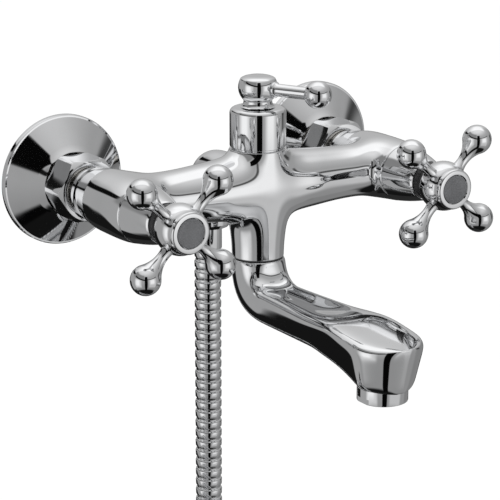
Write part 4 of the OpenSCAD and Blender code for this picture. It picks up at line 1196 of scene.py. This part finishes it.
@dataclass
class Spout:
    """The swivel spout with a hollowed top, and the aerator under its end."""

    reach: float = 105.5
    joint: float = -36.3
    spigot_r: float = 9.0
    spigot_h: float = 19.5
    neck_r: float = 13.1
    top: float = 46.5
    under: float = 66.3
    facet_top: float = 46.0
    facet_fall: float = 0.125
    facet_start: float = 0.78
    end_under: float = 73.2
    end_r: float = 19.6
    outlet_r: float = 14.2
    dish: float = 2.4
    bend_r: float = 8.5
    # Squareness of the upper and lower halves of the section, at the bend's ends and at the front
    neck_sharp: Point = (2.3, 2.0)
    bend_sharp: Point = (3.2, 2.8)
    front_sharp: Point = (6.0, 9.0)
    # Shares of the long part's way between which each change takes place
    under_falls: Point = (0.66, 1.0)
    dish_fades: Point = (0.42, 0.7)
    sides_grow: Point = (0.0, 0.84)
    top_squares: Point = (0.45, 0.95)
    under_squares: Point = (0.5, 0.86)
    front_sweep: float = 84.0
    aerator_r: float = 11.9
    aerator_h: float = 6.4
    aerator_bore_r: float = 9.4
    key_flat: tuple[float, float, float] = (4.0, 9.0, 3.6)
    sides: int = 40
    bend_steps: int = 9
    duct_steps: int = 13
    front_steps: int = 8

    def __post_init__(self) -> None:
        """Works out the places that follow from the sizes."""
        self.outlet_y = -STANDOFF - self.reach
        self.bend_y = -STANDOFF - self.neck_r - self.bend_r
        self.bend_z = -self.top + self.bend_r

    def section(self, sharp_top: float, sharp_under: float) -> list[Point]:
        """Points round the section, from -1 to 1, rounder at 2 and squarer above it.

        Args:
            sharp_top: Squareness of the upper half.
            sharp_under: Squareness of the lower half.

        Returns:
            The points.
        """
        points = []
        for k in range(self.sides):
            angle = FULL_TURN * k / self.sides
            c, s = math.cos(angle), math.sin(angle)
            n = sharp_top if s >= -1e-9 else sharp_under
            r = (abs(c) ** n + abs(s) ** n) ** (-1.0 / n)
            points.append((r * c, r * s))
        return points

    @staticmethod
    def hollow(p: Point, depth: float) -> float:
        """How far the middle of the top face is lowered."""
        return depth * max(0.0, 1.0 - p[0] ** 2) ** 1.5 * p[1] ** 4 if p[1] > 0.0 else 0.0

    def neck_ring(self, drop: float, sharp: float, inset: float = 0.0) -> list[Vector]:
        """A ring round the neck under the column."""
        r = self.neck_r - inset
        return [Vector((r * u, -STANDOFF - r * v, self.joint - drop)) for u, v in self.section(sharp, 2.0)]

    def bend_ring(self, i: int) -> list[Vector]:
        """A ring round the bend, turned about the centre of its inner radius.

        Args:
            i: The ring's number.

        Returns:
            The ring's points.
        """
        t = i / self.bend_steps
        turn = math.radians(90.0 * t)
        neck, duct = self.bend_r + 2.0 * self.neck_r, self.bend_r + self.under - self.top
        outside = between(neck, duct, ease(share(t, 0.3, 1.0)))
        middle, half = (outside + self.bend_r) / 2.0, (outside - self.bend_r) / 2.0
        ring = []
        for p in self.section(*(between(a, b, t) for a, b in zip(self.neck_sharp, self.bend_sharp))):
            reach = middle - half * p[1] + self.hollow(p, self.dish * ease(t))
            y, z = self.bend_y + reach * math.cos(turn), self.bend_z - reach * math.sin(turn)
            ring.append(Vector((self.neck_r * p[0], y, z)))
        return ring

    def top_level(self, t: float) -> float:
        """Height of the top face, which falls towards the front past the facet's start.

        Args:
            t: Share of the way from the bend to the outlet.

        Returns:
            The height.
        """
        length = self.bend_y - self.outlet_y
        fall = self.facet_fall * length * max(0.0, t - self.facet_start)
        return -between(self.top, self.facet_top, share(t, 0.0, self.facet_start)) - fall

    def duct_ring(self, i: int) -> list[Vector]:
        """A ring round the long part of the spout.

        Args:
            i: The ring's number.

        Returns:
            The ring's points.
        """
        t = i / self.duct_steps
        y = between(self.bend_y, self.outlet_y, t)
        top = self.top_level(t)
        under = -between(self.under, self.end_under, share(t, *self.under_falls) ** 2)
        middle, half = (top + under) / 2.0, (top - under) / 2.0
        dish = self.dish * (1.0 - ease(share(t, *self.dish_fades)))
        grown = share(t, *self.sides_grow)
        wide = between(self.neck_r, self.end_r, ease(grown) * 0.4 + grown * 0.6)
        narrow = between(self.neck_r, self.outlet_r, t)
        sharp_top = between(self.bend_sharp[0], self.front_sharp[0], ease(share(t, *self.top_squares)))
        sharp_under = between(self.bend_sharp[1], self.front_sharp[1], ease(share(t, *self.under_squares)))
        ring = []
        for p in self.section(sharp_top, sharp_under):
            z = middle + half * p[1] - self.hollow(p, dish)
            ring.append(Vector((p[0] * between(narrow, wide, (p[1] + 1.0) / 2.0), y, z)))
        return ring

    def front_ring(self, i: int) -> list[Vector]:
        """A ring round the front, which follows a cone about the outlet's axis.

        Args:
            i: The ring's number.

        Returns:
            The ring's points.
        """
        turn = math.radians(self.front_sweep * i / self.front_steps)
        ring = []
        for p in self.section(*self.front_sharp):
            up = (p[1] + 1.0) / 2.0
            r = between(self.outlet_r, self.end_r, up)
            top = self.top_level(1.0) - self.facet_fall * r * math.sin(turn)
            z = between(-self.end_under, top, up)
            ring.append(Vector((p[0] * r * math.cos(turn), self.outlet_y - r * math.sin(turn), z)))
        return ring

    def build(self) -> None:
        """Builds the spout and the aerator's collar."""
        rings = [self.neck_ring(0.0, 2.0, 0.5), self.neck_ring(0.15, 2.0, 0.1), self.neck_ring(1.4, 2.2)]
        rings += [self.bend_ring(i) for i in range(self.bend_steps)]
        rings += [self.duct_ring(i) for i in range(self.duct_steps)]
        rings += [self.front_ring(i) for i in range(self.front_steps + 1)]
        bm = bmesh.new()
        lofted(bm, rings)
        r, low, high = self.spigot_r, self.joint - 2.0, self.joint + self.spigot_h
        turned(bm, [(0.0, low), (r, low), (r, high), (0.0, high)], upright(-STANDOFF), 48)
        Piece("spout_shell", "spout", CHROME, ("spout_casting",), subdivided=2, split=180.0).finished(bm)
        self._build_aerator()

    def _build_aerator(self) -> None:
        """Builds the aerator's collar, with the two flats for its key."""
        r, bore, top = self.aerator_r, self.aerator_bore_r, -self.end_under + 0.4
        floor = -self.end_under - self.aerator_h
        bm = bmesh.new()
        turned(bm, [
            (bore, floor), (r - 0.5, floor), (r - 0.12, floor + 0.15), (r, floor + 0.5), (r, top), (bore, top)
        ], upright(self.outlet_y), 96)
        for side in (-1.0, 1.0):
            box = bmesh.new()
            bmesh.ops.create_cube(box, size=1.0)
            bmesh.ops.scale(box, vec=self.key_flat, verts=box.verts)
            bmesh.ops.translate(box, vec=(side * (r + 1.1), self.outlet_y, floor + 1.0), verts=box.verts)
            bm = carved(bm, box, "DIFFERENCE")
        Piece("aerator_collar", "spout", CHROME, ("aerator_housing",), split=24.0).finished(bm)


@dataclass
class HoseFittings:
    """The nut and ferrule that hold the hose to the branch."""

    flats: float = 24.0
    thread_r: float = 10.54
    nut_top: float = -14.0
    nut_step: float = -25.0
    nut_foot: float = -31.0
    seat: float = -29.5
    ferrule_r: float = 7.3
    collar_r: float = 10.18
    collar_top: float = -28.0
    bore_r: float = 4.4

    def build(self) -> None:
        """Builds the nut and the ferrule."""
        place = upright(-HOSE_STANDOFF)
        top, step, foot, seat = self.nut_top, self.nut_step, self.nut_foot, self.seat
        half, hole = self.flats / 2.0, self.ferrule_r + 0.12
        blank = bmesh.new()
        turned(blank, [
            (self.thread_r, seat), (self.thread_r, top), (half + 0.6, top), (half + 1.5, top - 0.8),
            (half + 1.5, step + 0.8), (half + 0.4, step), (half, step), (half, foot + 2.0),
            (self.thread_r, foot), (hole, foot), (hole, seat)
        ], place, 96)
        lower = bmesh.new()
        wide, below = half + 4.0, foot - 1.0
        turned(lower, [(0.0, below), (wide, below), (wide, step), (0.0, step)], place, 48)
        cutter = carved(hex_prism(self.flats, step, top + 1.0, place), lower, "UNION")
        nut = carved(blank, cutter, "INTERSECT")
        rounded(nut, NUT_ROUNDING)
        Piece("hose_nut_shell", "mixer", CHROME, ("hose_nut",), split=12.0).finished(nut)
        r, foot = self.ferrule_r, HOSE_TOP
        Piece("ferrule_shell", "mixer", CHROME, ("hose_ferrule",)).spun([
            (self.bore_r, foot), (r - 0.5, foot), (r - 0.12, foot + 0.15), (r, foot + 0.5), (r, seat),
            (self.collar_r, seat), (self.collar_r, self.collar_top), (self.bore_r, self.collar_top)
        ], place, 72)


def dress_plain_nodes(frame: dict[str, Any]) -> None:
    """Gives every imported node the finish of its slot.
    """
    finishes = {finish.slot: finish for finish in FINISHES}
    for row in frame["record"]["subparts"]:
        data = frame["nodes"][row["node"]].data
        data.materials.clear()
        data.materials.append(finishes[row["material_slot"]].build())


# The studio


@dataclass
class Panel:
    """A soft box or a dark card in the room that metal shows.

    Angles are in degrees, the azimuth from the front towards the right. A leaning panel's heights
    rise with the azimuth from its left side.
    """

    left: float
    right: float
    low: float
    high: float
    level: float
    soft: float
    lean: float = 0.0

    def laid_on(self, room: Sock, azimuth: Sock, height: Sock) -> Sock:
        """Lays the panel over the room.

        Args:
            room: The brightness so far.
            azimuth: The direction's azimuth.
            height: The direction's angle above the horizon.

        Returns:
            The brightness with the panel.
        """
        if self.lean:
            height = height - (azimuth - self.left) * self.lean
        across = azimuth.window(self.left, self.right, self.soft)
        seen = across * height.window(self.low, self.high, self.soft)
        return room + (self.level - room) * seen


ROOM_PANELS: tuple[Panel, ...] = (
    # Rear left: a grey wall with a dark rim over it and darkness under it
    Panel(-172.0, -120.0, -44.0, 28.0, 0.62, 4.0),
    Panel(-180.0, -122.0, 8.0, 17.0, 0.1, 1.5, 0.42),
    Panel(-180.0, -152.5, -66.0, -13.0, 0.13, 2.0),
    # Rear right: darkness low down
    Panel(152.0, 180.0, -66.0, -9.0, 0.2, 3.0),
    Panel(112.0, 138.0, -66.0, -30.0, 0.25, 4.0),
    # The left soft box, its brighter middle and the dimmer wall over it
    Panel(-140.0, -42.0, 18.0, 48.0, 0.52, 5.0),
    Panel(-113.0, -60.0, -38.0, 16.0, 0.78, 7.0),
    Panel(-104.0, -74.0, -26.0, 12.0, 0.93, 9.0),
    # The right soft box and its brighter middle
    Panel(-4.0, 52.0, -38.0, 22.0, 0.74, 7.0),
    Panel(4.0, 38.0, -16.0, 14.0, 0.92, 9.0),
    # Light from above at the rear right
    Panel(66.0, 180.0, 50.0, 92.0, 0.97, 9.0),
    # The dimmer wall at the right, with a dark line
    Panel(80.0, 124.0, -60.0, 12.0, 0.52, 6.0),
    Panel(80.0, 94.0, -12.0, 10.0, 0.28, 4.0),
    # The dark upper frames of the soft boxes
    Panel(-118.0, -33.0, 22.5, 31.0, 0.13, 2.0, -0.14),
    Panel(-15.0, 58.0, 16.5, 21.0, 0.32, 2.0),
    # The dark gap between the soft boxes, and the dark floor
    Panel(-36.5, -15.0, -66.0, 40.0, 0.07, 1.6),
    Panel(-30.0, 112.0, -90.0, -58.0, 0.12, 2.5),
)


@dataclass
class Lamp:
    """A soft round lamp that aims at the object and lights it without showing in metal."""

    name: str
    place: tuple[float, float, float]
    size: float
    power: float

    def build(self, target: Vector) -> None:
        """Hangs the lamp, aimed at a point.

        Args:
            target: The point.
        """
        data = bpy.data.lights.new(self.name, "AREA")
        data.shape = "DISK"
        data.size = self.size * MM
        data.energy = self.power
        lamp = bpy.data.objects.new(self.name, data)
        bpy.context.scene.collection.objects.link(lamp)
        lamp.location = Vector(self.place) * MM
        lamp.rotation_euler = (Vector(self.place) - target).to_track_quat("Z", "Y").to_euler()
        lamp.visible_glossy = False
        lamp.visible_camera = False


@dataclass
class Studio:
    """The camera, the pale floor, the soft lights and the room that metal shows."""

    azimuth: float = -32.8
    elevation: float = 15.7
    target: tuple[float, float, float] = (-2.3, -60.0, -33.7)
    distance: float = 1109.0
    focal_share: float = 4.49
    sensor: float = 36.0
    floor_level: float = -352.0
    floor_half: float = 6000.0
    floor_glow: float = 1.03
    glow_share: float = 0.97
    lamps: tuple[Lamp, ...] = (
        Lamp("key_lamp", (-900.0, -1300.0, 900.0), 900.0, 22.0),
        Lamp("fill_lamp", (1100.0, -1100.0, 500.0), 900.0, 14.0),
        Lamp("top_lamp", (0.0, -200.0, 1400.0), 1200.0, 14.0),
    )
    panels: tuple[Panel, ...] = ROOM_PANELS
    screen_gamma: float = 2.45
    metal_gain: float = 1.24
    ambient: float = 0.62

    def build_camera(self) -> None:
        """Places the camera at the photograph's angle."""
        a, e = math.radians(self.azimuth), math.radians(self.elevation)
        back = Vector((math.sin(a) * math.cos(e), -math.cos(a) * math.cos(e), math.sin(e)))
        data = bpy.data.cameras.new("camera")
        data.sensor_width = self.sensor
        data.sensor_fit = "HORIZONTAL"
        data.lens = self.sensor * self.focal_share
        data.clip_start = 0.01
        camera = bpy.data.objects.new("camera", data)
        bpy.context.scene.collection.objects.link(camera)
        camera.location = (Vector(self.target) + back * self.distance) * MM
        camera.rotation_euler = back.to_track_quat("Z", "Y").to_euler()
        bpy.context.scene.camera = camera

    def build(self) -> None:
        """Builds the room."""
        bpy.context.scene.view_settings.view_transform = "Standard"
        self._build_floor()
        for lamp in self.lamps:
            lamp.build(Vector(self.target))
        self._build_world()

    def _build_floor(self) -> None:
        """Lays a plain pale floor that keeps the object's shadow."""
        bm = bmesh.new()
        bmesh.ops.create_grid(bm, x_segments=1, y_segments=1, size=self.floor_half * MM)
        bmesh.ops.translate(bm, verts=bm.verts, vec=(0.0, 0.0, self.floor_level * MM))
        floor = linked("floor", bm)
        floor.visible_glossy = False
        material = bpy.data.materials.new("pale_floor")
        material.use_nodes = True
        tree = Tree(material.node_tree)
        seen = tree.node("ShaderNodeLightPath", output="Is Camera Ray")
        plain = tree.node("ShaderNodeBsdfDiffuse", None, {"Color": (0.9, 0.9, 0.9, 1.0)})
        white = (1.0, 1.0, 1.0, 1.0)
        glow = tree.node("ShaderNodeEmission", None, {"Color": white, "Strength": self.floor_glow})
        mixed = tree.node("ShaderNodeMixShader", None, {0: seen * self.glow_share, 1: plain, 2: glow})
        tree.node("ShaderNodeOutputMaterial", None, {"Surface": mixed})
        floor.data.materials.append(material)

    def _build_world(self) -> None:
        """Draws the room: white to the camera, and soft boxes with dark gaps to metal."""
        world = bpy.data.worlds.new("room")
        world.use_nodes = True
        bpy.context.scene.world = world
        tree = Tree(world.node_tree)
        where = tree.node("ShaderNodeTexCoord", output="Generated")
        parts = tree.node("ShaderNodeSeparateXYZ", None, {0: where})
        x, y, z = (Sock(tree, parts.socket.node.outputs[i]) for i in range(3))
        degrees = 180.0 / math.pi
        azimuth = x.call("ARCTAN2", y * -1.0) * degrees
        height = z.call("ARCSINE") * degrees
        # The bare room grows brighter upwards, and its front is darkest at the floor
        rear = height.ramp(-30.0, 12.0, 0.2, 0.7) + height.ramp(12.0, 75.0, 0.0, 0.28)
        front = height.ramp(-62.0, -49.0, 0.12, 0.56) + height.ramp(-50.0, 0.0, 0.0, 0.06)
        front = front + height.ramp(20.0, 75.0, 0.0, 0.24)
        room = rear + (front - rear) * azimuth.window(-130.0, 112.0, 12.0)
        for panel in self.panels:
            room = panel.laid_on(room, azimuth, height)
        room = room ** self.screen_gamma * self.metal_gain
        rays = tree.node("ShaderNodeLightPath", output="Is Camera Ray")
        gloss = Sock(tree, rays.socket.node.outputs["Is Glossy Ray"])
        level = self.ambient + (room - self.ambient) * gloss
        level = level + (1.0 - level) * rays
        light = tree.node("ShaderNodeBackground", None, {"Color": (1.0, 1.0, 1.0, 1.0), "Strength": level})
        tree.node("ShaderNodeOutputWorld", None, {"Surface": light})


def main() -> None:
    """Builds the mixer and its studio, in order."""
    logging.basicConfig(level=logging.INFO, format="%(name)s: %(message)s")
    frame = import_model()
    studio = Studio()
    studio.build_camera()
    ShowerHose().build()
    Casting().build()
    for side in Side:
        Inlet(side).build()
        ValveTrim(side).build()
    CrossHandle(Side.LEFT, turn=1.8).build()
    CrossHandle(Side.RIGHT, turn=3.4).build()
    Diverter().build()
    Spout().build()
    HoseFittings().build()
    dress_plain_nodes(frame)
    studio.build()


if __name__ == "__main__":
    main()
